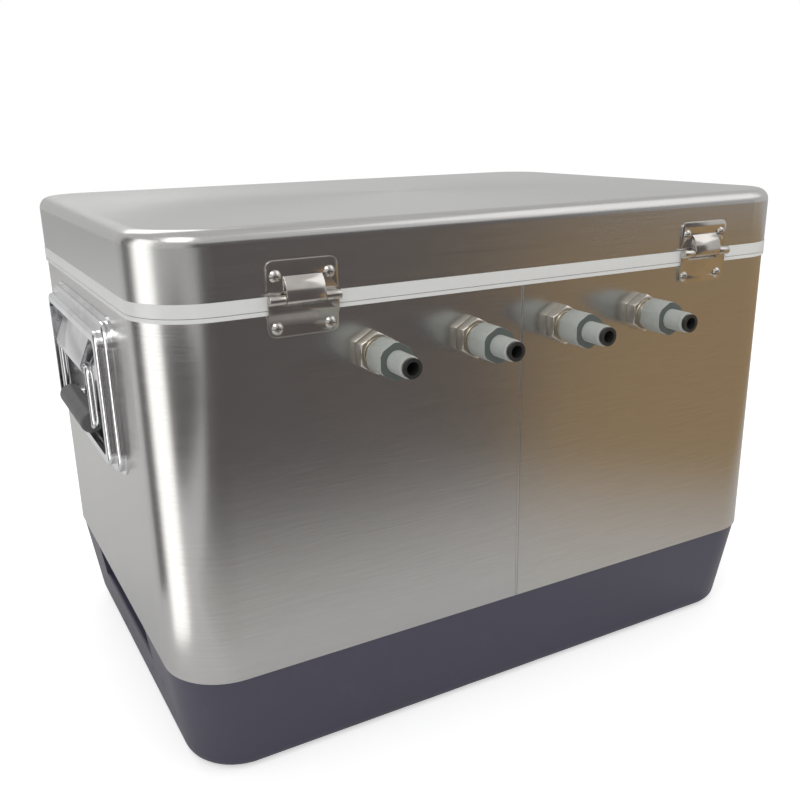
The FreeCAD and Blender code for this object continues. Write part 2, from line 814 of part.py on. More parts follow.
def hinge_body_leaves():
    """The lower leaves, on the belt: a plate, a jog over the rim and two outer eyes."""
    body = new_body("hinge_body_leaves")
    across = "-hinge_spacing / 2"
    low = PIN_HEIGHT + " - leaf_reach"
    jog = BELT_TOP + " - 2 * touch_gap"
    leaf_plate(body, BACK, "0", low, jog, "leaf_width", "leaf_thickness", across)
    fillet(body, "leaf_corner", lambda point: near(point.z, low)
           and abs(abs(point.x - value(across)) - value("leaf_width / 2")) < 1e-4)
    clear = "rim_proud + touch_gap"
    strap(body, BACK, "strap",
          [("0", jog + " - 2 * leaf_thickness"), ("leaf_thickness", jog + " - 2 * leaf_thickness"),
           (clear + " + leaf_thickness", jog), (clear + " + leaf_thickness", PIN_HEIGHT),
           (clear, PIN_HEIGHT), (clear, jog), ("0", jog)],
          "leaf_width", across)
    knuckle(body, BACK, "eye", PIN_STAND, PIN_HEIGHT, "knuckle_radius",
            "pin_radius + pin_fit", "leaf_width", across)
    gap = wall_sketch(body, "gap", BACK, across, PIN_HEIGHT, "0")
    half = "(knuckle_width / 2 + knuckle_gap)"
    down = "-(knuckle_radius + 4 * touch_gap)"
    outline(gap, [("-" + half, down), (half, down), (half, "2 * knuckle_radius"),
                  ("-" + half, "2 * knuckle_radius")])
    pocket(body, gap, "4 * knuckle_radius")
    holes = wall_sketch(body, "holes", BACK, across, PIN_HEIGHT, "0")
    for turn in (-1, 1):
        circle(holes, "%d * screw_pitch / 2" % turn, "-body_screw_drop",
               "screw_radius + screw_fit")
    pocket(body, holes, "2 * leaf_thickness")
    repeat_body(body, "hinge_spacing", 2)
    return body


def hinge_lid_leaves():
    """The upper leaves, on the lid: a plate, a domed strap and the middle eye."""
    body = new_body("hinge_lid_leaves")
    across = "-hinge_spacing / 2"
    bottom = PIN_HEIGHT + " + lid_leaf_gap"
    top = PIN_HEIGHT + " + leaf_reach"
    leaf_plate(body, BACK, "lid_proud", bottom, top, "leaf_width", "leaf_thickness", across)
    fillet(body, "leaf_corner", lambda point: near(point.z, top)
           and abs(abs(point.x - value(across)) - value("leaf_width / 2")) < 1e-4)
    near_face = "lid_proud"
    far_face = PIN_STAND + " + knuckle_radius"
    strap(body, BACK, "strap",
          [(near_face, bottom + " - knuckle_radius / 4"),
           (PIN_STAND, bottom + " - knuckle_radius / 2"),
           (PIN_STAND, PIN_HEIGHT),
           (far_face, PIN_HEIGHT),
           (far_face, PIN_HEIGHT + " + knuckle_radius"),
           (far_face + " - dome_height / 8", PIN_HEIGHT + " + knuckle_radius + dome_height / 2"),
           (far_face + " - dome_height / 3", PIN_HEIGHT + " + knuckle_radius + dome_height * 5 / 6"),
           ("lid_proud + leaf_thickness", PIN_HEIGHT + " + knuckle_radius + dome_height"),
           (near_face, PIN_HEIGHT + " + knuckle_radius + dome_height")],
          "knuckle_width", across)
    knuckle(body, BACK, "eye", PIN_STAND, PIN_HEIGHT, "knuckle_radius",
            "pin_radius + pin_fit", "knuckle_width", across)
    bore_eye(body, BACK, across)
    holes = wall_sketch(body, "holes", BACK, across, PIN_HEIGHT, "0")
    for turn in (-1, 1):
        circle(holes, "%d * screw_pitch / 2" % turn, "lid_screw_rise",
               "screw_radius + screw_fit")
    pocket(body, holes, "3 * leaf_thickness")
    repeat_body(body, "hinge_spacing", 2)
    return body


def repeat_body(body, step, count):
    """Repeat a whole finished body along X as separate solids."""
    pattern = body.newObject("PartDesign::LinearPattern", body.Name + "_row")
    pattern.TransformMode = "Whole shape"
    pattern.Direction = (origin(body, "X_Axis"), [""])
    bind(pattern, "Length", "(%s) * %d" % (step, count - 1))
    pattern.Occurrences = count
    body.Tip = pattern
    doc.recompute()
    return pattern


def hinge_pins():
    body = new_body("hinge_pins")
    sketch = new_sketch(body, "section", "YZ_Plane", "-hinge_spacing / 2",
                        "body_depth / 2 + " + PIN_STAND, PIN_HEIGHT)
    circle(sketch, "0", "0", "pin_radius")
    pin = pad(body, sketch, "leaf_width", both_ways=True)
    row_of(body, pin, "hinge_spacing", 2)
    return body


def latch_leaf():
    """The latch's leaf on the lid front, with two eyes."""
    body = new_body("latch_leaf")
    bottom = PIN_HEIGHT + " + lid_leaf_gap"
    top = PIN_HEIGHT + " + latch_leaf_height"
    leaf_plate(body, FRONT, "lid_proud", bottom, top, "latch_width", "leaf_thickness", "0")
    fillet(body, "leaf_corner / 2", lambda point: near(point.z, top)
           and near(abs(point.x), "latch_width / 2"))
    strap(body, FRONT, "strap",
          [("lid_proud", bottom + " + leaf_thickness"), ("lid_proud", bottom),
           (PIN_STAND, bottom + " - knuckle_radius / 2"), (PIN_STAND, PIN_HEIGHT),
           (PIN_STAND + " + knuckle_radius", PIN_HEIGHT),
           (PIN_STAND + " + knuckle_radius", PIN_HEIGHT + " + leaf_thickness"),
           ("lid_proud + leaf_thickness", bottom + " + 3 * leaf_thickness"),
           ("lid_proud", bottom + " + 3 * leaf_thickness")],
          "latch_width", "0")
    knuckle(body, FRONT, "eye", PIN_STAND, PIN_HEIGHT, "knuckle_radius",
            "pin_radius + pin_fit", "latch_width", "0")
    bore_eye(body, FRONT, "0")
    gap = wall_sketch(body, "gap", FRONT, "0", PIN_HEIGHT, "0")
    half = "(latch_knuckle_width / 2 + knuckle_gap)"
    outline(gap, [("-" + half, "-2 * knuckle_radius"), (half, "-2 * knuckle_radius"),
                  (half, "knuckle_radius + 2 * touch_gap"),
                  ("-" + half, "knuckle_radius + 2 * touch_gap")])
    pocket(body, gap, "4 * knuckle_radius", reversed_way=True)
    holes = wall_sketch(body, "holes", FRONT, "0", PIN_HEIGHT, "0")
    for turn in (-1, 1):
        circle(holes, "%d * latch_screw_pitch / 2" % turn, "latch_screw_rise",
               "screw_radius + screw_fit")
    pocket(body, holes, "3 * leaf_thickness", reversed_way=True)
    return body


def bore_eye(body, side, across):
    """Cut the pin's bore through a leaf's strap and eyes."""
    bore = new_sketch(body, "bore", "YZ_Plane", across,
                      "%d * (body_depth / 2 + %s)" % (side, PIN_STAND), PIN_HEIGHT)
    circle(bore, "0", "0", "pin_radius + pin_fit")
    pocket(body, bore, "2 * leaf_width", both_ways=True)


def latch_pin():
    body = new_body("latch_pin")
    sketch = new_sketch(body, "section", "YZ_Plane", "0",
                        "-(body_depth / 2 + %s)" % PIN_STAND, PIN_HEIGHT)
    circle(sketch, "0", "0", "pin_radius")
    pad(body, sketch, "latch_width", both_ways=True)
    return body


def latch_clasp():
    """The swinging clasp: an eye, a plate that hangs over the belt and a flared finger tab."""
    body = new_body("latch_clasp")
    clear = "(rim_proud + touch_gap)"
    flare = "(leaf_thickness + nose_height + touch_gap)"
    top = PIN_HEIGHT + " - knuckle_radius - 2 * touch_gap"
    jog = PIN_HEIGHT + " - striker_drop + 2 * striker_screw_reach"
    low = PIN_HEIGHT + " - clasp_length"
    thick = "clasp_thickness"
    strap(body, FRONT, "plate",
          [(clear, top), (clear, jog), (flare, jog + " - " + flare), (flare, low),
           (flare + " + clasp_lip", low + " - clasp_lip"),
           (flare + " + clasp_lip + " + thick, low + " - clasp_lip + " + thick),
           (flare + " + " + thick, low + " + " + thick),
           (flare + " + " + thick, jog + " - " + flare), (clear + " + " + thick, jog),
           (clear + " + " + thick, top)],
          "clasp_width", "0")
    strap(body, FRONT, "neck",
          [(clear, top), (clear, PIN_HEIGHT), (clear + " + " + thick, PIN_HEIGHT),
           (clear + " + " + thick, top)],
          "latch_knuckle_width", "0")
    knuckle(body, FRONT, "eye", PIN_STAND, PIN_HEIGHT, "knuckle_radius",
            "pin_radius + pin_fit", "latch_knuckle_width", "0")
    return body


def latch_striker():
    """The catch on the belt: a small plate with a raised nose."""
    body = new_body("latch_striker")
    middle = PIN_HEIGHT + " - striker_drop"
    half = "striker_height / 2"
    width = "striker_screw_pitch + 4 * striker_screw_reach"
    leaf_plate(body, FRONT, "0", middle + " - " + half, middle + " + " + half, width,
               "leaf_thickness", "0")
    fillet(body, "leaf_corner / 2", lambda point: near(abs(point.x), "(%s) / 2" % width)
           and abs(abs(point.z - value(middle)) - value(half)) < 1e-4)
    strap(body, FRONT, "nose",
          [("0", middle + " + nose_height"), ("leaf_thickness", middle + " + nose_height"),
           ("leaf_thickness + nose_height", middle + " + nose_height / 3"),
           ("leaf_thickness + nose_height", middle + " - nose_height / 3"),
           ("leaf_thickness", middle + " - nose_height"), ("0", middle + " - nose_height")],
          "latch_knuckle_width", "0")
    holes = wall_sketch(body, "holes", FRONT, "0", middle, "0")
    for turn in (-1, 1):
        circle(holes, "%d * striker_screw_pitch / 2" % turn, "0", "screw_radius + screw_fit")
    pocket(body, holes, "2 * leaf_thickness", reversed_way=True)
    return body


def screw_shape(grip):
    """A pan head screw along +Z with its seat at 0 and a cross recess in its head."""
    radius = value("screw_head_radius")
    rise = value("screw_head_height")
    dome = (radius ** 2 + rise ** 2) / (2 * rise)
    head = Part.makeCylinder(radius, rise)
    head = head.common(Part.makeSphere(dome, FreeCAD.Vector(0, 0, rise - dome)))
    deep = value("cross_depth")
    for long_side, short_side in (("cross_length", "cross_width"), ("cross_width", "cross_length")):
        length = value(long_side)
        width = value(short_side)
        corner = FreeCAD.Vector(-length / 2, -width / 2, rise - deep)
        head = head.cut(Part.makeBox(length, width, rise, corner))
    shank = Part.makeCylinder(value("screw_radius"), grip, FreeCAD.Vector(0, 0, -grip))
    return head.fuse(shank).removeSplitter()


def rivet_shape(grip):
    """A domed rivet along +Z with its seat at 0."""
    radius = value("rivet_head_radius")
    rise = value("rivet_head_height")
    dome = (radius ** 2 + rise ** 2) / (2 * rise)
    ball = Part.makeSphere(dome, FreeCAD.Vector(0, 0, rise - dome))
    head = Part.makeCylinder(radius, rise).common(ball)
    shank = Part.makeCylinder(value("rivet_radius"), grip, FreeCAD.Vector(0, 0, -grip))
    return head.fuse(shank).removeSplitter()


def group(label, shapes):
    """Separate fasteners kept as one named group."""
    feature = doc.addObject("Part::Feature", label)
    feature.Label = label
    feature.Shape = Part.makeCompound(shapes)
    feature.Placement = FreeCAD.Placement()
    parts.append(feature)
    return feature


def placed(shape, place, outward):
    """A copy of a fastener at a place, its head facing outward."""
    turn = FreeCAD.Rotation(FreeCAD.Vector(0, 0, 1), FreeCAD.Vector(*outward))
    copy = shape.copy()
    copy.Placement = FreeCAD.Placement(FreeCAD.Vector(*place), turn)
    return copy


def body_screws():
    """Screws of the lower hinge leaves and of the latch's catch."""
    screw = screw_shape(value("leaf_thickness + belt_thickness"))
    back = value("body_depth / 2 + leaf_thickness")
    screws = [placed(screw, (value(across), back, value(PIN_HEIGHT + " - body_screw_drop")),
                     (0, 1, 0)) for across in hinge_screw_places()]
    for turn in (-1, 1):
        place = (turn * value("striker_screw_pitch / 2"), -back,
                 value(PIN_HEIGHT + " - striker_drop"))
        screws.append(placed(screw, place, (0, -1, 0)))
    return group("body_screws", screws)


def lid_screws():
    """Screws of the upper hinge leaves and of the latch's leaf."""
    screw = screw_shape(value("leaf_thickness + lid_skin"))
    back = value("body_depth / 2 + lid_proud + leaf_thickness")
    screws = [placed(screw, (value(across), back, value(PIN_HEIGHT + " + lid_screw_rise")),
                     (0, 1, 0)) for across in hinge_screw_places()]
    for turn in (-1, 1):
        place = (turn * value("latch_screw_pitch / 2"), -back,
                 value(PIN_HEIGHT + " + latch_screw_rise"))
        screws.append(placed(screw, place, (0, -1, 0)))
    return group("lid_screws", screws)


def handle_rivets():
    """Rivets through the ears of both handle brackets."""
    grip = value("bracket_sheet + dish_sheet + belt_thickness")
    rivet = rivet_shape(grip)
    reach = value("body_width / 2 + dish_sheet + bracket_sheet")
    rivets = [placed(rivet, (end * reach, turn * value(RIVET_REACH), value(RIVET_HEIGHT)),
                     (end, 0, 0)) for end in (-1, 1) for turn in (-1, 1)]
    return group("handle_rivets", rivets)


END_NAMES = {1: "right", -1: "left"}


def to_end(body, end):
    """Turn a piece modelled at the +X end round to its own end."""
    if end < 0:
        body.Placement = FreeCAD.Placement(
            FreeCAD.Vector(0, 0, 0), FreeCAD.Rotation(FreeCAD.Vector(0, 0, 1), 180))


def dish_section(body, name, station, insets, corners):
    """A sketch on the +X end with one rounded outline for each inset."""
    sketch = new_sketch(body, name, "YZ_Plane", "body_width / 2 + " + station, "0",
                        DISH_MIDDLE)
    for inset, corner in zip(insets, corners):
        rounded(sketch, "dish_width - 2 * (%s)" % inset, "dish_height - 2 * (%s)" % inset,
                corner)
    return sketch


def handle_dish(end):
    """The pressed handle plate: a flange, a raised bead, a higher crest and a flat well."""
    body = new_body("handle_dish_" + END_NAMES[end])
    face = "body_width / 2"
    flange = dish_section(body, "flange", "0", ["0"], ["dish_corner"])
    pad(body, flange, "dish_sheet")
    bead_corner = "dish_corner - bead_inset"
    bead = dish_section(body, "bead", "0", ["bead_inset"], [bead_corner])
    pad(body, bead, "bead_height")
    fillet(body, "bead_round", lambda point: near(point.x, face + " + bead_height"))
    crest_corner = "dish_corner - crest_inset"
    crest = dish_section(body, "crest", "0", ["crest_inset"], [crest_corner])
    pad(body, crest, "crest_height")
    fillet(body, "bead_round", lambda point: near(point.x, face + " + crest_height"))
    well = dish_section(body, "well", "crest_height", ["well_inset"], ["well_corner"])
    pocket(body, well, "crest_height - dish_sheet")
    inner = "well_inset - dish_sheet"
    inner_corner = "well_corner + dish_sheet"
    low = dish_section(body, "low_hollow", "0", ["bead_inset + dish_sheet", inner],
                       [bead_corner + " - dish_sheet", inner_corner])
    pocket(body, low, "bead_height - dish_sheet", reversed_way=True)
    high = dish_section(body, "high_hollow", "0", ["crest_inset + dish_sheet", inner],
                        [crest_corner + " - dish_sheet", inner_corner])
    pocket(body, high, "crest_height - 2 * dish_sheet", reversed_way=True)
    rivets = new_sketch(body, "rivets", "YZ_Plane")
    for turn in (-1, 1):
        circle(rivets, "%d * %s" % (turn, RIVET_REACH), RIVET_HEIGHT,
               "rivet_radius + screw_fit")
    pocket(body, rivets, reversed_way=True)
    to_end(body, end)
    return body


def bracket_outline(body, name, points):
    """A sketch of the bracket seen from the side, its stations measured from the end wall."""
    sketch = new_sketch(body, name, "XZ_Plane")
    outline(sketch, [("body_width / 2 + " + out, up) for out, up in points])
    return sketch


def handle_bracket(end):
    """The stamped bracket over the bail's ends: a sloped hood, a rolled edge and two ears."""
    body = new_body("handle_bracket_" + END_NAMES[end])
    skin = "bracket_sheet"
    ledge = BAIL_HEIGHT + " + roll_radius + 1"
    hood = bracket_outline(body, "hood", [
        ("dish_sheet", BRACKET_TOP), ("bracket_top_proud", BRACKET_TOP),
        ("bail_stand + roll_radius", BAIL_HEIGHT + " + roll_radius / 2"),
        ("bail_stand + roll_radius", BAIL_HEIGHT), ("bail_stand - roll_radius", BAIL_HEIGHT),
        ("dish_sheet", ledge + " - " + skin)])
    pad(body, hood, "bracket_width", both_ways=True)
    roll = new_sketch(body, "roll", "XZ_Plane")
    circle(roll, "body_width / 2 + bail_stand", BAIL_HEIGHT, "roll_radius")
    pad(body, roll, "bracket_width", both_ways=True)
    inside = bracket_outline(body, "inside", [
        ("dish_sheet", BRACKET_TOP + " - " + skin),
        ("bracket_top_proud - " + skin, BRACKET_TOP + " - " + skin),
        ("bail_stand + roll_radius - 2 * " + skin, ledge), ("dish_sheet", ledge)])
    pocket(body, inside, "bracket_width - 2 * bracket_sheet", both_ways=True)
    ears = new_sketch(body, "ears", "YZ_Plane", "body_width / 2 + dish_sheet")
    low = BRACKET_TOP + " - ear_height"
    for turn in (-1, 1):
        inner = "%d * (bracket_width / 2 - bracket_sheet)" % turn
        outer = "%d * (bracket_width / 2 + ear_width)" % turn
        outline(ears, [(inner, low), (outer, low), (outer, BRACKET_TOP), (inner, BRACKET_TOP)])
    pad(body, ears, "bracket_sheet")
    fillet(body, "ear_height / 4",
           lambda point: near(abs(point.y), "bracket_width / 2 + ear_width")
           and near(abs(point.z - value(RIVET_HEIGHT)), "ear_height / 2"))
    holes = new_sketch(body, "holes", "YZ_Plane", "body_width / 2")
    for turn in (-1, 1):
        circle(holes, "%d * %s" % (turn, RIVET_REACH), RIVET_HEIGHT,
               "rivet_radius + screw_fit")
    pocket(body, holes, reversed_way=True)
    bore = new_sketch(body, "bore", "XZ_Plane")
    circle(bore, "body_width / 2 + bail_stand", BAIL_HEIGHT, "bail_radius + shank_fit")
    pocket(body, bore, "2 * bracket_width", both_ways=True)
    to_end(body, end)
    return body


def bent_spine(sketch, corners, radius):
    """An open path with square turns, each rounded to a radius."""
    places = [(value(across), value(along)) for across, along in corners]
    steps = [((after[0] > before[0]) - (after[0] < before[0]),
              (after[1] > before[1]) - (after[1] < before[1]))
             for before, after in zip(places, places[1:])]
    turn = None
    for index, step in enumerate(steps):
        start = corners[index] if index == 0 else trimmed(corners[index], step, 1, radius)
        last = index == len(steps) - 1
        end = corners[index + 1] if last else trimmed(corners[index + 1], step, -1, radius)
        ends = [FreeCAD.Vector(value(point[0]), value(point[1]), 0) for point in (start, end)]
        line = sketch.addGeometry(Part.LineSegment(ends[0], ends[1]))
        pin_point(sketch, line, 1, *start)
        pin_point(sketch, line, 2, *end)
        if turn:
            sketch.addConstraint(Sketcher.Constraint("Coincident", turn[0], turn[1], line, 1))
        if not last:
            turn = add_turn(sketch, line, places[index + 1], step, steps[index + 1], radius)


def trimmed(corner, step, way, radius):
    """The place a bend's radius away from a corner, along a step."""
    return tuple("%s + %d * (%s)" % (corner[axis], way * step[axis], radius) for axis in (0, 1))


def add_turn(sketch, line, corner, step, following, radius):
    """The arc from a line's end round a corner, and which of its ends leads on."""
    bend = value(radius)
    centre = FreeCAD.Vector(corner[0] - bend * step[0] + bend * following[0],
                            corner[1] - bend * step[1] + bend * following[1], 0)
    left = step[0] * following[1] - step[1] * following[0]
    towards = (-following[0], -following[1])
    start = math.atan2(towards[1], towards[0])
    if left < 0:
        start -= math.pi / 2
    arc = Part.ArcOfCircle(Part.Circle(centre, FreeCAD.Vector(0, 0, 1), bend),
                           start, start + math.pi / 2)
    number = sketch.addGeometry(arc)
    entry = 1 if left > 0 else 2
    sketch.addConstraint(Sketcher.Constraint("Coincident", line, 2, number, entry))
    size = sketch.addConstraint(Sketcher.Constraint("Radius", number, bend))
    bind(sketch, "Constraints[%d]" % size, radius)
    return number, 3 - entry


def handle_bail(end):
    """The wire bail: two arms, a bottom run for the grip and two tails in the bracket."""
    body = new_body("handle_bail_" + END_NAMES[end])
    stand = "body_width / 2 + bail_stand"
    low = BAIL_HEIGHT + " - bail_length"
    tail = "(bail_width / 2 - bail_bend - bail_tail)"
    spine = new_sketch(body, "spine", "YZ_Plane", stand)
    bent_spine(spine, [("-" + tail, BAIL_HEIGHT), ("-bail_width / 2", BAIL_HEIGHT),
                       ("-bail_width / 2", low), ("bail_width / 2", low),
                       ("bail_width / 2", BAIL_HEIGHT), (tail, BAIL_HEIGHT)], "bail_bend")
    section = new_sketch(body, "section", "XZ_Plane", tail)
    circle(section, stand, BAIL_HEIGHT, "bail_radius")
    pipe(body, section, spine)
    to_end(body, end)
    return body


def handle_grip(end):
    """The moulded grip round the bail's bottom run, with a shoulder at each end."""
    body = new_body("handle_grip_" + END_NAMES[end])
    sketch = new_sketch(body, "section", "YZ_Plane", "body_width / 2 + bail_stand", "0",
                        BAIL_HEIGHT + " - bail_length")
    bore = "bail_radius + shank_fit"
    half = "grip_length / 2"
    outline(sketch, [("-(%s)" % half, bore), ("-(%s)" % half, "grip_radius - 1.5"),
                     ("1.5 - " + half, "grip_radius"), (half + " - 1.5", "grip_radius"),
                     (half, "grip_radius - 1.5"), (half, bore)])
    revolve(body, sketch)
    to_end(body, end)
    return body


def end_turned(body, name, points):
    """A piece turned about an axis square to the +X end, at the drain's height."""
    sketch = new_sketch(body, name, "XZ_Plane", "0", "body_width / 2", DRAIN_HEIGHT)
    outline(sketch, points)
    return revolve(body, sketch)


RECESS_BACK = "(-belt_thickness - base_gap - recess_depth)"
DRAIN_INNER = "(-wall_thickness - liner_taper - touch_gap)"


def drain_spout():
    """The threaded drain tube, flanged against the floor of the grip recess."""
    body = new_body("drain_spout")
    flange_end = RECESS_BACK + " + drain_flange"
    neck_end = flange_end + " + drain_neck"
    inner_end = DRAIN_INNER + " - drain_nut_length - drain_flange"
    end_turned(body, "section", [
        (inner_end, "drain_bore"), (inner_end, "drain_radius"), (RECESS_BACK, "drain_radius"),
        (RECESS_BACK, "drain_flange_radius"), (flange_end, "drain_flange_radius"),
        (flange_end, "drain_radius + 1"), (neck_end, "drain_radius + 1"),
        (neck_end, "drain_bore")])
    to_end(body, -1)
    return body


def drain_nut():
    """The hexagon nut on the drain tube inside the liner."""
    body = new_body("drain_nut")
    sketch = new_sketch(body, "section", "YZ_Plane",
                        "body_width / 2 + %s - drain_nut_length" % DRAIN_INNER, "0",
                        DRAIN_HEIGHT)
    hexagon(sketch, "drain_nut_across")
    circle(sketch, "0", "0", "drain_radius + shank_fit")
    pad(body, sketch, "drain_nut_length")
    to_end(body, -1)
    return body


def drain_cap():
    """The ribbed cap on the drain's neck, modelled about its own axis."""
    body = new_body("drain_cap")
    sketch = new_sketch(body, "section", "XZ_Plane")
    inner = "drain_radius + 1 + touch_gap"
    outline(sketch, [("2 * touch_gap", inner), ("2 * touch_gap", "cap_radius"),
                     ("cap_length - 1", "cap_radius"), ("cap_length", "cap_radius - 1"),
                     ("cap_length", "0"), ("drain_neck + touch_gap", "0"),
                     ("drain_neck + touch_gap", inner)])
    revolve(body, sketch)
    rib = new_sketch(body, "rib", "YZ_Plane", "1")
    circle(rib, "0", "cap_radius", "rib_radius")
    blade = pad(body, rib, "cap_length - 2")
    ring_of(body, [blade], "X_Axis", int(value("cap_ribs")))
    to_end(body, -1)
    bind(body, "Placement.Base.x",
         "-(body_width / 2 + %s + drain_flange)" % RECESS_BACK)
    bind(body, "Placement.Base.z", DRAIN_HEIGHT)
    return body


def nut_row(label, side, first, step, start, length, bore):
    """Four hexagon nuts against a face, their outer corners turned off."""
    body = new_body(label)
    sketch = wall_sketch(body, "section", side, first, PORT_HEIGHT, start)
    hexagon(sketch, "nut_across")
    circle(sketch, "0", "0", bore)
    blank = pad(body, sketch, length, reversed_way=side == BACK)
    corner = "nut_across / sqrt(3)"
    flat = "nut_across / 2"
    end = "%s + %s" % (start, length)
    fall = "(nut_across / sqrt(3) - nut_across / 2)"
    corners = turned(body, "corners", side, first, PORT_HEIGHT,
                     [(end + " - %s / 2" % fall, corner + " + " + fall),
                      (end + " + " + fall, corner + " + " + fall),
                      (end + " + " + fall, flat), (end, flat),
                      (end + " - %s / 2" % fall, corner)], cut=True)
    row_of(body, [blank, corners], step, 4)
    return body


def inlet_shanks():
    """The threaded inlet shanks, flanged inside the liner, with a nose for the adaptor."""
    body = new_body("inlet_shanks")
    inner_end = "-(wall_thickness + shank_inner)"
    flange_back = "-(%s + inner_flange)" % INNER_FACE
    flange_front = "-" + INNER_FACE
    stop = inner_end + " + tube_seat"
    socket = "tube_radius + shank_fit"
    nose_end = ADAPTOR_START + " + nose_length"
    section = turned(body, "section", BACK, INLET_FIRST, PORT_HEIGHT, [
        (inner_end, socket), (inner_end, "shank_radius"), (flange_back, "shank_radius"),
        (flange_back, "inner_flange_radius"), (flange_front, "inner_flange_radius"),
        (flange_front, "shank_radius"), (ADAPTOR_START, "shank_radius"),
        (ADAPTOR_START, "nose_radius"), (nose_end, "nose_radius"), (nose_end, "faucet_bore"),
        (stop, "faucet_bore"), (stop, socket)])
    row_of(body, section, "inlet_pitch", 4)
    return body


def inlet_adaptors():
    """The moulded push-fit adaptors: a hexagon body with turned corners and a round socket."""
    body = new_body("inlet_adaptors")
    sketch = wall_sketch(body, "hexagon", BACK, INLET_FIRST, PORT_HEIGHT, ADAPTOR_START)
    hexagon(sketch, "adaptor_across")
    body_blank = pad(body, sketch, "adaptor_length", reversed_way=True)
    corners = turned(body, "corners", BACK, INLET_FIRST, PORT_HEIGHT, [
        (ADAPTOR_START + " - 1", "adaptor_round"), (ADAPTOR_END + " + 1", "adaptor_round"),
        (ADAPTOR_END + " + 1", "adaptor_across"), (ADAPTOR_START + " - 1", "adaptor_across")],
        cut=True)
    socket = turned(body, "socket", BACK, INLET_FIRST, PORT_HEIGHT, [
        (ADAPTOR_END + " - 2", "0"), (ADAPTOR_END + " - 2", "socket_radius"),
        (SOCKET_END + " - 1", "socket_radius"), (SOCKET_END, "socket_radius - 1"),
        (SOCKET_END, "0")])
    nose = "nose_radius + shank_fit"
    step = ADAPTOR_START + " + nose_length + touch_gap"
    seat = SOCKET_END + " - collet_depth - collet_travel - touch_gap"
    ways = turned(body, "ways", BACK, INLET_FIRST, PORT_HEIGHT, [
        (ADAPTOR_START + " - 1", "0"), (ADAPTOR_START + " - 1", nose), (step, nose),
        (step, "collet_bore"), (seat, "collet_bore"),
        (seat, "collet_radius + shaft_fit"), (SOCKET_END + " + 1", "collet_radius + shaft_fit"),
        (SOCKET_END + " + 1", "0")], cut=True)
    row_of(body, [body_blank, corners, socket, ways], "inlet_pitch", 4)
    return body


def inlet_collet(index):
    """The release ring in an adaptor's mouth, modelled about its own axis."""
    body = new_body("inlet_collet_%d" % (index + 1))
    sketch = new_sketch(body, "section", "YZ_Plane")
    ring = "collet_travel + touch_gap"
    outline(sketch, [("-collet_depth", "collet_bore"), ("-collet_depth", "collet_radius"),
                     (ring, "collet_radius"), (ring, "collet_ring_radius"),
                     (ring + " + collet_ring", "collet_ring_radius"),
                     (ring + " + collet_ring", "collet_bore")])
    revolve(body, sketch)
    bind(body, "Placement.Base.x", "%s + %d * inlet_pitch" % (INLET_FIRST, index))
    bind(body, "Placement.Base.y", "body_depth / 2 + " + SOCKET_END)
    bind(body, "Placement.Base.z", PORT_HEIGHT)
    return body


def tube_row(label, side, first, step):
    """Four bent steel tubes from the shanks down into the cold plate."""
    body = new_body(label)
    start = "%d * (body_depth / 2 - wall_thickness - shank_inner + tube_seat)" % side
    column = "%d * %s" % (side, TUBE_COLUMN)
    spine = new_sketch(body, "spine", "YZ_Plane", first)
    bent_spine(spine, [(start, PORT_HEIGHT), (column, PORT_HEIGHT),
                       (column, PLATE_TOP + " - boss_height")], "tube_bend")
    section = new_sketch(body, "section", "XZ_Plane", "-(%s)" % start)
    circle(section, first, PORT_HEIGHT, "tube_radius")
    circle(section, first, PORT_HEIGHT, "tube_radius - tube_wall")
    tube = pipe(body, section, spine)
    row_of(body, tube, step, 4)
    return body


def cold_plate():
    """The cast cold plate on four feet, with a boss for each tube."""
    body = new_body("cold_plate")
    slab = level(body, "slab", "floor_height + plate_foot_height")
    rounded(slab, "plate_width", "plate_depth", "plate_corner")
    pad(body, slab, "plate_thickness")
    feet = level(body, "feet", "floor_height")
    for across in (-1, 1):
        for along in (-1, 1):
            circle(feet, "%d * (plate_width / 2 - plate_foot_inset)" % across,
                   "%d * (plate_depth / 2 - plate_foot_inset)" % along, "plate_foot_radius")
    pad(body, feet, "plate_foot_height")
    bosses = level(body, "bosses", PLATE_TOP)
    holes = level(body, "holes", PLATE_TOP + " + boss_height")
    for side, first, step in PORTS:
        for index in range(4):
            across = "%s + %d * %s" % (first, index, step)
            along = "%d * %s" % (side, TUBE_COLUMN)
            circle(bosses, across, along, "boss_radius")
            circle(holes, across, along, "tube_radius + shank_fit")
    pad(body, bosses, "boss_height")
    pocket(body, holes, "2 * boss_height")
    return body


def faucet_shanks():
    """The threaded faucet shanks, with a chambered collar outside the wall."""
    body = new_body("faucet_shanks")
    inner_end = "-(wall_thickness + shank_inner)"
    stop = inner_end + " + tube_seat"
    socket = "tube_radius + shank_fit"
    section = turned(body, "section", FRONT, FAUCET_FIRST, PORT_HEIGHT, [
        (inner_end, socket), (inner_end, "shank_radius"), ("wall_flange", "shank_radius"),
        ("wall_flange", "collar_radius"), (COLLAR_END, "collar_radius"),
        (COLLAR_END, "chamber_radius"), ("wall_flange", "chamber_radius"),
        ("wall_flange", "faucet_bore"), (stop, "faucet_bore"), (stop, socket)])
    row_of(body, section, "faucet_pitch", 4)
    return body


def faucet_wall_flanges():
    """The dished flanges between the belt and the shanks' collars."""
    body = new_body("faucet_wall_flanges")
    bore = "shank_radius + shank_fit"
    section = turned(body, "section", FRONT, FAUCET_FIRST, PORT_HEIGHT, [
        ("0", bore), ("0", "wall_flange_radius"), ("wall_flange / 4", "wall_flange_radius"),
        ("wall_flange", "collar_radius + 2"), ("wall_flange", bore)])
    row_of(body, section, "faucet_pitch", 4)
    return body


FLANGE_END = "(wall_flange + collar_length + faucet_flange)"


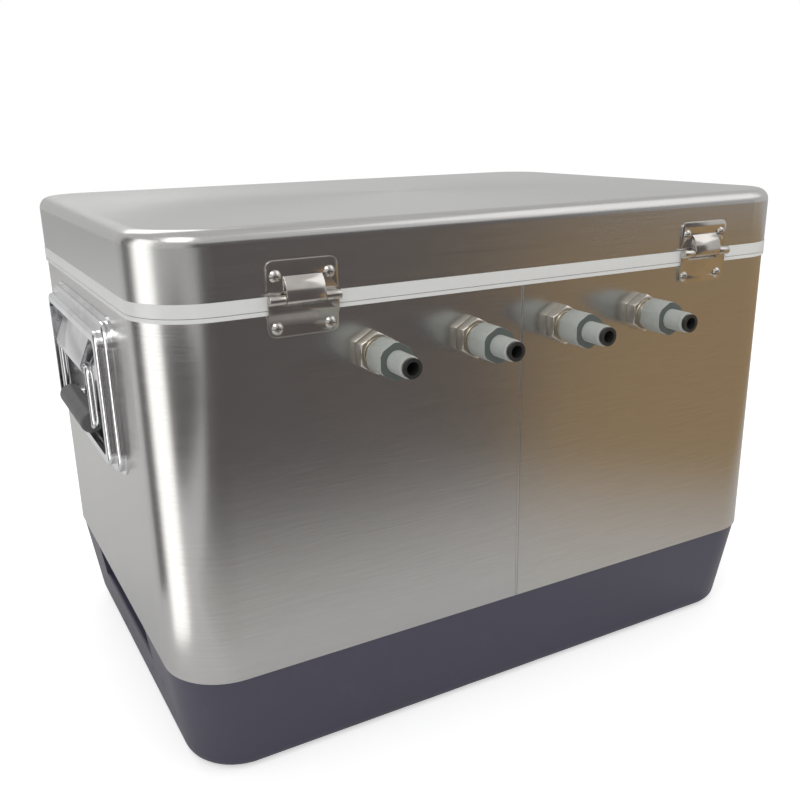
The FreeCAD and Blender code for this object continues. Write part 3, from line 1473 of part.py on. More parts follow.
def faucet_coupling_nuts():
    """The round coupling nuts that draw the faucets onto the shanks' collars."""
    body = new_body("faucet_coupling_nuts")
    start = "wall_flange + touch_gap"
    end = start + " + coupling_length"
    section = turned(body, "section", FRONT, FAUCET_FIRST, PORT_HEIGHT, [
        (start, "collar_radius + shank_fit"), (start, "coupling_radius"),
        (end + " - 1", "coupling_radius"), (end, "coupling_radius - 1"),
        (end, "barrel_radius + shank_fit"), (FLANGE_END + " + shank_fit", "barrel_radius + shank_fit"),
        (FLANGE_END + " + shank_fit", "collar_radius + shank_fit")])
    row_of(body, section, "faucet_pitch", 4)
    return body


def upright(body, name, points, cut=False, stand="0", rise="0"):
    """A piece turned about a vertical axis, its points given as radius and height."""
    sketch = new_sketch(body, name, "YZ_Plane", "0", stand, rise)
    outline(sketch, points)
    return revolve(body, sketch, "V_Axis", cut)


def at_faucet(body, index):
    bind(body, "Placement.Base.x", "%s + %d * faucet_pitch" % (FAUCET_FIRST, index))


def faucet_body(index):
    """A faucet's casting: a level barrel, a neck for the lever and a spout."""
    body = new_body("faucet_body_%d" % (index + 1))
    nose_end = BARREL_END + " + nose_cap_length"
    turned(body, "barrel", FRONT, "0", PORT_HEIGHT, [
        (COLLAR_END, "0"), (COLLAR_END, "collar_radius - shank_fit"),
        (FLANGE_END, "collar_radius - shank_fit"), (FLANGE_END, "barrel_radius"),
        (BARREL_END + " - 3", "barrel_radius"), (BARREL_END, "nose_cap_radius"),
        (nose_end + " - 1", "nose_cap_radius"), (nose_end, "nose_cap_radius - 1"),
        (nose_end, "0")])
    stand = "-(body_depth / 2 + lever_station)"
    upright(body, "neck", [("0", "0"), ("neck_radius", "0"), ("neck_radius", "neck_height"),
                           ("0", "neck_height")], stand=stand, rise=PORT_HEIGHT)
    upright(body, "spout", [("0", "0"), ("0", "-spout_reach"), ("spout_radius - 1", "-spout_reach"),
                            ("spout_radius", "-barrel_radius - 14"),
                            ("spout_radius + 2", "-barrel_radius - 4"), ("spout_radius + 2", "0")],
            stand=stand, rise=PORT_HEIGHT)
    turned(body, "bore", FRONT, "0", PORT_HEIGHT, [
        (COLLAR_END + " - 1", "0"), (COLLAR_END + " - 1", "barrel_bore"),
        (BARREL_END + " - 4", "barrel_bore"), (BARREL_END + " - 4", "shaft_radius + shaft_fit"),
        (nose_end + " + 1", "shaft_radius + shaft_fit"), (nose_end + " + 1", "0")], cut=True)
    upright(body, "neck_bore", [("0", "0"), ("ball_radius + ball_fit", "0"),
                                ("ball_radius + ball_fit", "neck_height + 1"),
                                ("0", "neck_height + 1")],
            cut=True, stand=stand, rise=PORT_HEIGHT)
    upright(body, "spout_bore", [("0", "0"), ("0", "-spout_reach - 1"),
                                 ("spout_bore", "-spout_reach - 1"),
                                 ("spout_bore", "-barrel_radius - 4"),
                                 ("spout_throat", "-barrel_radius - 4"), ("spout_throat", "0")],
            cut=True, stand=stand, rise=PORT_HEIGHT)
    at_faucet(body, index)
    return body


def faucet_bonnets():
    """The threaded caps over the levers' balls, each slotted for the lever's swing."""
    body = new_body("faucet_bonnets")
    stand = "-(body_depth / 2 + lever_station)"
    inner = "ball_radius + ball_fit"
    roof = "lever_rise + ball_radius + 2 * ball_fit"
    top = "neck_height + bonnet_height / 2 + 3"
    sketch = new_sketch(body, "section", "YZ_Plane", FAUCET_FIRST, stand, PORT_HEIGHT)
    outline(sketch, [
        ("neck_radius + shank_fit", "barrel_radius + touch_gap"),
        ("bonnet_radius", "barrel_radius + touch_gap"),
        ("bonnet_radius", top + " - 5"), ("bonnet_radius - 4", top),
        ("stem_radius + ball_fit", top), ("stem_radius + ball_fit", roof), (inner, roof),
        (inner, "neck_height + shank_fit"), ("neck_radius + shank_fit", "neck_height + shank_fit")])
    ring = revolve(body, sketch, "V_Axis")
    slot = level(body, "slot", PORT_HEIGHT + " + neck_height + shank_fit")
    half = "stem_radius + ball_fit"
    outline(slot, [("%s - (%s)" % (FAUCET_FIRST, half), stand),
                   ("%s - (%s)" % (FAUCET_FIRST, half), stand + " - bonnet_radius"),
                   ("%s + %s" % (FAUCET_FIRST, half), stand + " - bonnet_radius"),
                   ("%s + %s" % (FAUCET_FIRST, half), stand)])
    notch = pocket(body, slot, "bonnet_height", reversed_way=True)
    row_of(body, [ring, notch], "faucet_pitch", 4)
    return body


def at_lever(body, index):
    """Put a piece modelled about the lever's pivot at its faucet."""
    at_faucet(body, index)
    bind(body, "Placement.Base.y", "-(body_depth / 2 + lever_station)")
    bind(body, "Placement.Base.z", PORT_HEIGHT + " + lever_rise")


def faucet_lever(index):
    """A lever: a finger into the shaft, a ball, a stem, a collar and a threaded end."""
    body = new_body("faucet_lever_%d" % (index + 1))
    collar_top = "stem_height + lever_collar"
    upright(body, "stem", [
        ("0", "-lever_rise - finger_tip"), ("finger_tip / 2", "-lever_rise - finger_tip"),
        ("finger_tip", "-lever_rise - finger_tip / 2"), ("finger_tip", "finger_tip / 2 - lever_rise"),
        ("finger_radius", "finger_tip - lever_rise"), ("finger_radius", "0"),
        ("stem_radius", "0"), ("stem_radius", "stem_height"),
        ("lever_collar_radius", "stem_height"), ("lever_collar_radius", collar_top),
        ("lever_thread_radius", collar_top), ("lever_thread_radius", collar_top + " + lever_thread"),
        ("0", collar_top + " + lever_thread")])
    ball = body.newObject("PartDesign::AdditiveSphere", body.Name + "_ball")
    bind(ball, "Radius", "ball_radius")
    doc.recompute()
    at_lever(body, index)
    return body


def tap_handle(index):
    """A tapered tap handle with a domed top, on the lever's thread."""
    body = new_body("tap_handle_%d" % (index + 1))
    foot = "stem_height + lever_collar + touch_gap"
    top = foot + " + handle_height"
    inner = "lever_thread_radius + shank_fit"
    roof = foot + " + lever_thread + 1"
    upright(body, "section", [
        (inner, foot), ("handle_foot_radius", foot), ("handle_foot_radius", foot + " + 8"),
        ("handle_top_radius - 3", foot + " + handle_height / 2"),
        ("handle_top_radius", top + " - 14"), ("handle_top_radius - 2", top + " - 5"),
        ("handle_top_radius - 6", top + " - 1"), ("0", top), ("0", roof), (inner, roof)])
    at_lever(body, index)
    return body


def faucet_shaft(index):
    """The sliding shaft: a seal at the back, a slotted block for the finger and a guide rod."""
    body = new_body("faucet_shaft_%d" % (index + 1))
    seal = COLLAR_END + " + seal_gap"
    block = "barrel_bore - 2 * shaft_fit"
    tip = BARREL_END + " + nose_cap_length + shaft_front"
    turned(body, "section", FRONT, "0", PORT_HEIGHT, [
        (seal, "0"), (seal, "barrel_bore - seal_gap"),
        (seal + " + seal_length", "barrel_bore - seal_gap"), (seal + " + seal_length", "shaft_radius"),
        ("lever_station - shaft_block / 2", "shaft_radius"),
        ("lever_station - shaft_block / 2", block), ("lever_station + shaft_block / 2", block),
        ("lever_station + shaft_block / 2", "shaft_radius"), (tip, "shaft_radius"), (tip, "0")])
    slot = level(body, "slot", PORT_HEIGHT)
    half = "finger_tip + touch_gap"
    near_side = "-(body_depth / 2 + lever_station - shaft_slot / 2)"
    far_side = "-(body_depth / 2 + lever_station + shaft_slot / 2)"
    outline(slot, [("-(%s)" % half, near_side), (half, near_side), (half, far_side),
                   ("-(%s)" % half, far_side)])
    pocket(body, slot, "2 * barrel_bore", both_ways=True)
    at_faucet(body, index)
    return body


def main():
    base_tub()
    steel_belt()
    inner_liner()
    foam_insulation()
    lid_shell()
    lid_liner()
    lid_foam()
    hinge_body_leaves()
    hinge_lid_leaves()
    hinge_pins()
    body_screws()
    lid_screws()
    latch_leaf()
    latch_pin()
    latch_clasp()
    latch_striker()
    for end in (-1, 1):
        handle_dish(end)
        handle_bracket(end)
        handle_bail(end)
        handle_grip(end)
    handle_rivets()
    drain_spout()
    drain_nut()
    drain_cap()
    inlet_shanks()
    nut_row("inlet_locknuts", BACK, INLET_FIRST, "inlet_pitch", "0", "nut_length",
            "shank_radius + shank_fit")
    inlet_adaptors()
    tube_row("inlet_tubes", BACK, INLET_FIRST, "inlet_pitch")
    tube_row("outlet_tubes", FRONT, FAUCET_FIRST, "faucet_pitch")
    cold_plate()
    faucet_shanks()
    faucet_wall_flanges()
    faucet_coupling_nuts()
    nut_row("faucet_shank_nuts", FRONT, FAUCET_FIRST, "faucet_pitch",
            "-(%s + nut_length)" % INNER_FACE, "nut_length", "shank_radius + shank_fit")
    faucet_bonnets()
    for index in range(4):
        inlet_collet(index)
        faucet_body(index)
        faucet_lever(index)
        tap_handle(index)
        faucet_shaft(index)


def check_document():
    """Stop unless every object computed and every piece is a valid solid."""
    doc.recompute()
    for item in doc.Objects:
        if "Invalid" in item.State or "Error" in item.State:
            raise RuntimeError("%s did not compute" % item.Name)
    for piece in parts:
        if piece.Shape.isNull() or not piece.Shape.isValid():
            raise RuntimeError("%s is not a valid solid" % piece.Label)


main()
check_document()
os.makedirs("parts", exist_ok=True)
for piece in parts:
    piece.Shape.exportStep("parts/%s.step" % piece.Label)
    print(piece.Label, len(piece.Shape.Solids), "solids", round(piece.Shape.Volume), "mm3")
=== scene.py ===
# %% [markdown]
# A jockey box is a picnic cooler that chills beer on its way to the tap. This lesson dresses
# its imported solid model: first the stage and the camera, then a finish for every piece, and
# then the small pieces that a maker would add by hand: screw threads and the belt's folded end.

# %% Load the solid model
import json
import math

import bpy
from mathutils import Matrix, Vector

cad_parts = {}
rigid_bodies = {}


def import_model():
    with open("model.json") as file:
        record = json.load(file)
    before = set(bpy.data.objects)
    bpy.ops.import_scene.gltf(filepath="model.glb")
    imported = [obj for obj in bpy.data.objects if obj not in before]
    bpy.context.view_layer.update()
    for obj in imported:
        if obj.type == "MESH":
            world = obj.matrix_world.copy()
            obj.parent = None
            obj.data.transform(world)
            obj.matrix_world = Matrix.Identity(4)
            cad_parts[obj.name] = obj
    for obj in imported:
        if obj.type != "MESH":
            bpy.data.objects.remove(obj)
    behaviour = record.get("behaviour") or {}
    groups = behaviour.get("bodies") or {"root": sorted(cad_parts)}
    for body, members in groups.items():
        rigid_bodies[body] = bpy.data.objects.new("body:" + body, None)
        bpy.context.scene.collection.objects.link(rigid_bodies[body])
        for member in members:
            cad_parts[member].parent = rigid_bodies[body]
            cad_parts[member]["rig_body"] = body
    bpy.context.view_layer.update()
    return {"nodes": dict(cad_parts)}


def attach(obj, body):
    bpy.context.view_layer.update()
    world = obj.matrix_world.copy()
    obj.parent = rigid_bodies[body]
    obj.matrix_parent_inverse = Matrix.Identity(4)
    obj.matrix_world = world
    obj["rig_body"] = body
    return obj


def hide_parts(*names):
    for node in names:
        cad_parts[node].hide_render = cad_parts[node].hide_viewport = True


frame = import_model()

nodes = frame["nodes"]

# %% [markdown]
# The camera stands behind the cooler's hinge side, a little above its lid, and looks down at
# it from a little under a metre away. Its lens is about 41 mm long. The small shift stands for
# a picture that was cropped off its own middle.

# %% Camera
PICTURE_SIDE = 800
PICTURE_CENTRE = (408.40, 413.55)
FOCAL_PIXELS = 907.07
SENSOR_WIDTH = 36
CAMERA_PLACE = (0.43536, 0.80039, 0.49732)
CAMERA_ANGLES = (-29.080, 17.896, -0.990)

camera_data = bpy.data.cameras.new("camera")
camera = bpy.data.objects.new("camera", camera_data)
bpy.context.scene.collection.objects.link(camera)
bpy.context.scene.camera = camera
yaw, pitch, roll = (math.radians(angle) for angle in CAMERA_ANGLES)
forward = Vector((math.sin(yaw) * math.cos(pitch), -math.cos(yaw) * math.cos(pitch),
                  -math.sin(pitch)))
level_right = forward.cross(Vector((0, 0, 1))).normalized()
level_up = level_right.cross(forward)
right = level_right * math.cos(roll) + level_up * math.sin(roll)
up = level_up * math.cos(roll) - level_right * math.sin(roll)
camera.matrix_world = Matrix((
    (right.x, up.x, -forward.x, CAMERA_PLACE[0]),
    (right.y, up.y, -forward.y, CAMERA_PLACE[1]),
    (right.z, up.z, -forward.z, CAMERA_PLACE[2]),
    (0, 0, 0, 1)))
camera_data.sensor_width = SENSOR_WIDTH
camera_data.lens = FOCAL_PIXELS / PICTURE_SIDE * SENSOR_WIDTH
camera_data.shift_x = (PICTURE_SIDE / 2 - PICTURE_CENTRE[0]) / PICTURE_SIDE
camera_data.shift_y = (PICTURE_CENTRE[1] - PICTURE_SIDE / 2) / PICTURE_SIDE
camera_data.clip_start = 0.01
print("lens", round(camera_data.lens, 2), "mm")

# %% [markdown]
# A node tree is easier to read as sums. This class holds one socket, and its operators add
# Math nodes, so that a mask can be written as 1 - wear * 0.4. Colours go through a Mix node,
# because a Math node would turn them grey.

# %% A socket that can be added and multiplied


class Wire:
    """One output socket of a material's nodes."""

    def __init__(self, paint, socket):
        self.paint = paint
        self.socket = socket

    def sum_with(self, operation, first, second):
        return self.paint.node("ShaderNodeMath", {"operation": operation}, {0: first, 1: second})

    def __add__(self, other):
        return self.sum_with("ADD", self, other)

    def __radd__(self, other):
        return self.sum_with("ADD", other, self)

    def __sub__(self, other):
        return self.sum_with("SUBTRACT", self, other)

    def __rsub__(self, other):
        return self.sum_with("SUBTRACT", other, self)

    def __mul__(self, other):
        return self.sum_with("MULTIPLY", self, other)

    def __rmul__(self, other):
        return self.sum_with("MULTIPLY", other, self)

    def __gt__(self, other):
        return self.sum_with("GREATER_THAN", self, other)

    def __lt__(self, other):
        return self.sum_with("LESS_THAN", self, other)


print("a socket can take + - * > and <")

# %% [markdown]
# Every finish starts from the same kit: one method that adds any node, and a few named
# textures built on it. Object coordinates are in metres here, so a scale of 1000 gives grain
# about a millimetre across.

# %% A material and its kit of textures


class Paint:
    """A material, with one method that adds any node to it."""

    def __init__(self, name):
        self.material = bpy.data.materials.new(name)
        self.material.use_nodes = True
        self.tree = self.material.node_tree
        self.tree.nodes.clear()

    def node(self, kind, settings=None, values=None, output=0):
        made = self.tree.nodes.new(kind)
        for name, setting in (settings or {}).items():
            if name == "stops":
                self.set_stops(made.color_ramp, setting)
            else:
                setattr(made, name, setting)
        for name, given in (values or {}).items():
            if isinstance(given, Wire):
                self.tree.links.new(given.socket, made.inputs[name])
            else:
                made.inputs[name].default_value = given
        return Wire(self, made.outputs[output])

    def set_stops(self, ramp, stops):
        while len(ramp.elements) < len(stops):
            ramp.elements.new(1)
        for element, (place, shade) in zip(ramp.elements, stops):
            element.position = place
            element.color = (shade, shade, shade, 1)

    def place(self, scale=(1, 1, 1)):
        coordinates = self.node("ShaderNodeTexCoord", output="Object")
        return self.node("ShaderNodeMapping", {}, {"Vector": coordinates, "Scale": scale})

    def outward(self):
        """A point's own Y: metres to the back on a piece, or a share of a stage card's length."""
        coordinates = self.node("ShaderNodeTexCoord", output="Object")
        return self.node("ShaderNodeSeparateXYZ", {}, {"Vector": coordinates}, output="Y")

    def noise(self, scale, stretch=(1, 1, 1), detail=3):
        return self.node("ShaderNodeTexNoise", {}, {
            "Vector": self.place(stretch), "Scale": scale, "Detail": detail}, output="Fac")

    def cells(self, scale):
        return self.node("ShaderNodeTexVoronoi", {}, {"Vector": self.place(), "Scale": scale})

    def curve(self, wire, stops):
        return self.node("ShaderNodeValToRGB", {"stops": stops}, {"Fac": wire})

    def blend(self, factor, first, second):
        return self.node("ShaderNodeMix", {"data_type": "RGBA"}, {
            "Factor": factor, 6: first, 7: second}, output=2)

    def bump(self, height, strength, distance):
        return self.node("ShaderNodeBump", {}, {
            "Height": height, "Strength": strength, "Distance": distance})

    def shader(self, **values):
        named = {name.replace("_", " "): given for name, given in values.items()}
        return self.node("ShaderNodeBsdfPrincipled", {}, named)

    def use(self, shader):
        end = self.tree.nodes.new("ShaderNodeOutputMaterial")
        self.tree.links.new(shader.socket, end.inputs["Surface"])
        return self.material


print("the kit of textures is ready")

# %% [markdown]
# The stage is a pale floor under a white sky, as in a shop's picture. A glow of the floor's own
# brings it to white. Only the camera sees that glow, so the floor still takes the cooler's
# shadow and adds no light to it. The sky is likewise white to the camera and dimmer as a light.

# %% Floor and world
WHITE = (1, 1, 1, 1)
FLOOR_GREY = (0.80, 0.80, 0.80, 1)
FLOOR_GLOW = 0.53
FLOOR_SIDE = 14
FLOOR_DROP = 0.0005
ROOM_LIGHT = 0.62


def stage_material():
    paint = Paint("stage_white")
    seen = paint.node("ShaderNodeLightPath", output="Is Camera Ray")
    matt = paint.node("ShaderNodeBsdfDiffuse", {}, {"Color": FLOOR_GREY})
    glow = paint.node("ShaderNodeEmission", {}, {"Color": WHITE, "Strength": FLOOR_GLOW})
    shaded = paint.node("ShaderNodeAddShader", {}, {0: matt, 1: glow})
    return paint.use(paint.node("ShaderNodeMixShader", {}, {0: seen, 1: matt, 2: shaded}))


def stage_plane(name, size, place, turn):
    """A flat card of the stage that belongs to no piece of the cooler."""
    bpy.ops.object.select_all(action="DESELECT")
    bpy.ops.mesh.primitive_plane_add(size=1, location=place, rotation=turn)
    card = bpy.context.active_object
    card.name = name
    card.scale = (size[0], size[1], 1)
    return card


floor = stage_plane("floor", (FLOOR_SIDE, FLOOR_SIDE), (0, 0, -FLOOR_DROP), (0, 0, 0))
floor.data.materials.append(stage_material())

world = bpy.data.worlds.new("studio")
bpy.context.scene.world = world
world.use_nodes = True
world_nodes = world.node_tree.nodes
background = world_nodes["Background"]
background.inputs["Color"].default_value = WHITE
background.inputs["Strength"].default_value = ROOM_LIGHT
sky = world_nodes.new("ShaderNodeBackground")
sky.inputs["Color"].default_value = WHITE
sky.inputs["Strength"].default_value = 1.0
path = world_nodes.new("ShaderNodeLightPath")
choose = world_nodes.new("ShaderNodeMixShader")
world.node_tree.links.new(path.outputs["Is Camera Ray"], choose.inputs[0])
world.node_tree.links.new(background.outputs[0], choose.inputs[1])
world.node_tree.links.new(sky.outputs[0], choose.inputs[2])
world.node_tree.links.new(choose.outputs[0], world_nodes["World Output"].inputs["Surface"])
bpy.context.scene.view_settings.view_transform = "Standard"
print("stage set")

# %% [markdown]
# Brushed steel shows whatever lies and stands round it, so a photographer shapes its look with
# cards. The camera looks down, so the back face mirrors the floor: its foot shows the floor
# close by and its top shows the floor two metres off. A dark card on the floor therefore gives
# the deep grey of the upper half, with a dark wall behind it, and a brown one warms the far
# side. A bright card and a dark one stand by the near corner, and put a white stripe and its
# dark neighbour on it. The cards are seen only in reflections.

# %% Cards that the steel reflects


def mirror_card(name, colour, strength, size, place, facing=None, spin=0, near_colour=None,
                near_stops=()):
    """A card that stands facing a way, or lies on the floor turned by a spin.

    A lying card may change from another colour along its length, at distances from its edge.
    """
    turn = (0, 0, math.radians(spin))
    if facing:
        turn = Vector(facing).to_track_quat("Z", "Y").to_euler()
    card = stage_plane(name, size, place, turn)
    paint = Paint(name)
    shown = (*colour, 1)
    if near_colour:
        stops = [(distance / size[1], share) for distance, share in near_stops]
        shown = paint.blend(paint.curve(paint.outward() + 0.5, stops), (*near_colour, 1), shown)
    card.data.materials.append(paint.use(paint.node("ShaderNodeEmission", {}, {
        "Color": shown, "Strength": strength})))
    card.visible_camera = False
    card.visible_diffuse = False
    card.visible_shadow = False
    card.visible_transmission = False


DARK = (0.12, 0.11, 0.11)
DARKEST = (0.09, 0.09, 0.09)
PALE = (0.58, 0.57, 0.56)
BROWN = (0.38, 0.27, 0.15)
PALE_BROWN = (0.60, 0.59, 0.57)
BRIGHT = (1, 1, 0.98)
BRIGHT_STRENGTH = 1.9
CORNER_HEIGHT = 0.30
mirror_card("card_dark_floor", DARK, 1.0, (5.0, 4.3), (-1.95, 2.55, 0.003),
            near_colour=PALE, near_stops=((0, 0), (0.10, 0.22), (0.28, 0.75), (0.45, 1)))
mirror_card("card_dark_wall", DARK, 1.0, (6.0, 2.0), (-1.45, 4.70, 1.0), (0, -1, 0))
mirror_card("card_dark_side", DARK, 1.0, (1.2, 1.2), (1.296, 1.104, 0.002), spin=16)
brown_start = Vector((0.002, 0.215, 0.006))
brown_way = Vector((-0.595, 0.804, 0))
brown_side = Vector((-0.804, -0.595, 0))
brown_middle = brown_start + brown_way * 2.45 + brown_side * 1.5
mirror_card("card_brown_floor", BROWN, 1.0, (3.0, 4.6), brown_middle, spin=36.5,
            near_colour=PALE_BROWN, near_stops=((0, 0), (0.15, 0.2), (0.45, 1)))
mirror_card("card_bright_corner", BRIGHT, BRIGHT_STRENGTH, (0.15, 0.6),
            (0.509, 0.175, CORNER_HEIGHT), (-1, 0.07, 0))
mirror_card("card_dark_corner", DARKEST, 1.0, (0.13, 0.6),
            (0.546, -0.018, CORNER_HEIGHT), (-0.777, 0.629, 0))
print("cards lie and stand round the cooler")

# %% [markdown]
# Three wide lamps light the cooler from above: one past each back corner and one past the
# front, so that no side falls dark. A wider lamp throws a softer shadow.

# %% Lamps
COOLER_MIDDLE = (0, 0, 0.25)


def soft_lamp(name, power, size, place):
    """A square lamp that looks at the cooler's middle."""
    lamp_data = bpy.data.lights.new(name, "AREA")
    lamp_data.energy = power
    lamp_data.size = size
    lamp = bpy.data.objects.new(name, lamp_data)
    bpy.context.scene.collection.objects.link(lamp)
    lamp.location = place
    way = Vector(COOLER_MIDDLE) - Vector(place)
    lamp.rotation_euler = way.to_track_quat("-Z", "Y").to_euler()


soft_lamp("lamp_key", power=16, size=1.4, place=(1.3, 1.5, 2.5))
soft_lamp("lamp_fill", power=7, size=1.8, place=(-1.9, 1.2, 2.1))
soft_lamp("lamp_front", power=12, size=1.6, place=(0.3, -2.0, 2.2))
print("three lamps")

# %% [markdown]
# The belt and the lid are brushed stainless sheet. The brush leaves thousands of fine lines,
# level on the walls and lengthwise on the lid's top. Stretched noise draws them: its pattern is
# long one way and fine the other. Faint clouds under it stand for rolled sheet and fingerprints.
# Noise looks blotchy on a flat face that lies on a whole number of its steps, so the lid's
# scales were picked to keep its top and its long sides between two of them.

# %% Brushed steel
COARSE_SHARE = 0.35


def brushed_steel(name, colour, along, roughness):
    paint = Paint(name)
    fine = paint.noise(1, along, detail=4)
    coarse = paint.noise(1, tuple(step * COARSE_SHARE for step in along), detail=2)
    clouds = paint.noise(5, detail=3)
    lines = fine * 0.65 + coarse * 0.35
    light = tuple(min(1, part * 1.07) for part in colour)
    dark = tuple(part * 0.91 for part in colour)
    shade = paint.blend(paint.curve(lines, ((0.3, 0), (0.7, 1))), (*dark, 1), (*light, 1))
    rough = roughness + lines * 0.10 + paint.curve(clouds, ((0.45, 0), (0.75, 1))) * 0.04
    relief = paint.bump(lines, 0.12, 0.00012)
    return paint.use(paint.shader(Base_Color=shade, Metallic=1.0, Roughness=rough,
                                  Normal=relief, Anisotropic=0.55))


LEVEL_LINES = (38, 38, 2600)
LENGTHWISE_LINES = (30, 2030, 1976)
belt_finish = brushed_steel("belt_brushed", (0.60, 0.592, 0.58), LEVEL_LINES, 0.17)
lid_finish = brushed_steel("lid_brushed", (0.61, 0.605, 0.595), LENGTHWISE_LINES, 0.19)
print("brushed finishes mixed")

# %% [markdown]
# Hinges, pins, screws and bails are polished or plated. Their shine is even, so what tells
# them apart from a perfect mirror is faint tumbling marks and a haze of dust.

# %% Plated and polished metal


def plated_metal(name, colour, roughness, mark=0.06):
    paint = Paint(name)
    haze = paint.noise(38, detail=5)
    marks = paint.noise(420, (1, 1, 0.2), detail=2)
    dull = tuple(part * 0.84 for part in colour)
    shade = paint.blend(paint.curve(haze, ((0.42, 0), (0.7, 1))), (*colour, 1), (*dull, 1))
    rough = roughness + haze * 0.10 + marks * mark
    relief = paint.bump(marks, 0.06, 0.0002)
    return paint.use(paint.shader(Base_Color=shade, Metallic=1.0, Roughness=rough,
                                  Normal=relief))


hinge_finish = plated_metal("hinge_nickel", (0.66, 0.63, 0.59), 0.10)
chrome_finish = plated_metal("handle_chrome", (0.80, 0.80, 0.81), 0.06, mark=0.03)
faucet_finish = plated_metal("faucet_chrome", (0.78, 0.78, 0.79), 0.05, mark=0.02)
shank_finish = plated_metal("shank_nickel", (0.70, 0.66, 0.58), 0.22)
tube_finish = plated_metal("tube_stainless", (0.64, 0.64, 0.645), 0.24)
print("plated finishes mixed")

# %% [markdown]
# Moulded plastic has a grain from its mould: tiny cells on the base, almost none on the white
# liner. The colour wanders a little, and scuffs make it paler and duller on flat places.

# %% Moulded plastic


def moulded_plastic(name, colour, roughness, grain=0.0, cell=900, scuff=0.25):
    paint = Paint(name)
    drift = paint.noise(7, detail=4)
    scuffs = paint.curve(paint.noise(90, (1, 1, 0.35), detail=5), ((0.58, 0), (0.75, 1)))
    pale = tuple(min(1, part * 1.25 + 0.012) for part in colour)
    deep = tuple(part * 0.90 for part in colour)
    tone = paint.blend(drift, (*deep, 1), (*colour, 1))
    shade = paint.blend(scuffs * scuff, tone, (*pale, 1))
    rough = roughness + drift * 0.06 + scuffs * 0.12
    pebbles = paint.cells(cell) * grain + paint.noise(260, detail=2) * 0.25
    relief = paint.bump(pebbles, 0.30, 0.00022)
    return paint.use(paint.shader(Base_Color=shade, Roughness=rough, Normal=relief))


base_finish = moulded_plastic("base_charcoal", (0.073, 0.069, 0.105), 0.36, grain=0.6)
liner_finish = moulded_plastic("liner_white", (0.85, 0.85, 0.83), 0.30, scuff=0.08)
collet_finish = moulded_plastic("collet_black", (0.030, 0.030, 0.029), 0.30, scuff=0.10)
grip_finish = moulded_plastic("grip_grey", (0.105, 0.105, 0.108), 0.42, grain=0.5)
drain_finish = moulded_plastic("drain_black", (0.020, 0.020, 0.028), 0.40, grain=0.3)
knob_finish = moulded_plastic("knob_black", (0.010, 0.010, 0.011), 0.16, scuff=0.05)
print("plastics mixed")

# %% [markdown]
# The push-fit adaptors are pale grey acetal. The flat face round each socket is painted a
# darker green grey, as painted shade: it looks back at the camera and little light falls on
# it. The face is one plane, 253 mm back from the cooler's middle, so a thin slice of that
# distance picks it out.

# %% Pale fitting with painted shade on its face
ADAPTOR_FACE = 0.253
HALF_SLICE = 0.00006
GRIME = (0.12, 0.12, 0.11, 1)


def fitting_with_painted_shade(name, pale, dark):
    paint = Paint(name)
    back = paint.outward()
    # The flat face round the socket is picked out here and given the dark colour as painted
    # shade.
    painted_shade_face = (back > ADAPTOR_FACE - HALF_SLICE) * (back < ADAPTOR_FACE + HALF_SLICE)
    drift = paint.noise(60, detail=4)
    grime = paint.curve(paint.noise(240, detail=5), ((0.50, 0), (0.80, 1)))
    dull = tuple(part * 0.82 for part in pale)
    side = paint.blend(drift, (*dull, 1), (*pale, 1))
    shade = paint.blend(painted_shade_face, side, (*dark, 1))
    soiled = paint.blend(grime * 0.2, shade, GRIME)
    return paint.use(paint.shader(Base_Color=soiled, Roughness=0.36 + drift * 0.10,
                                  Normal=paint.bump(grime, 0.08, 0.0002)))


# The second colour is painted shade for the flat face round each socket.
fitting_finish = fitting_with_painted_shade("fitting_grey_painted_shade", (0.50, 0.52, 0.49), (0.105, 0.125, 0.112))
print("fitting mixed")

# %% [markdown]
# The cold plate is cast aluminium with steel tube inside, so its skin is dull and slightly
# pitted. The foam is only seen where something is taken apart, as cream cells.

# %% Cast aluminium and foam


def cast_aluminium(name):
    paint = Paint(name)
    sand = paint.noise(520, detail=5)
    pits = paint.curve(paint.cells(240), ((0.0, 0), (0.35, 1)))
    shade = paint.blend(sand, (0.40, 0.40, 0.41, 1), (0.62, 0.62, 0.63, 1))
    relief = paint.bump(sand * 0.7 + pits * 0.3, 0.45, 0.0006)
    return paint.use(paint.shader(Base_Color=shade, Metallic=1.0, Roughness=0.42 + sand * 0.2,
                                  Normal=relief))


def cell_foam(name):
    paint = Paint(name)
    cells = paint.cells(700)
    shade = paint.blend(cells, (0.74, 0.66, 0.44, 1), (0.86, 0.80, 0.62, 1))
    return paint.use(paint.shader(Base_Color=shade, Roughness=0.9 - cells * 0.1,
                                  Normal=paint.bump(cells, 0.6, 0.0006)))


plate_finish = cast_aluminium("plate_cast")
foam_finish = cell_foam("foam_cream")
print("cast and foam mixed")

# %% [markdown]
# Each solid now gets its finish. The names in this list are the pieces of the real cooler, so
# a missing one would show as an error and not as a grey piece. What each of the four beer lines
# has for itself is numbered by its line.

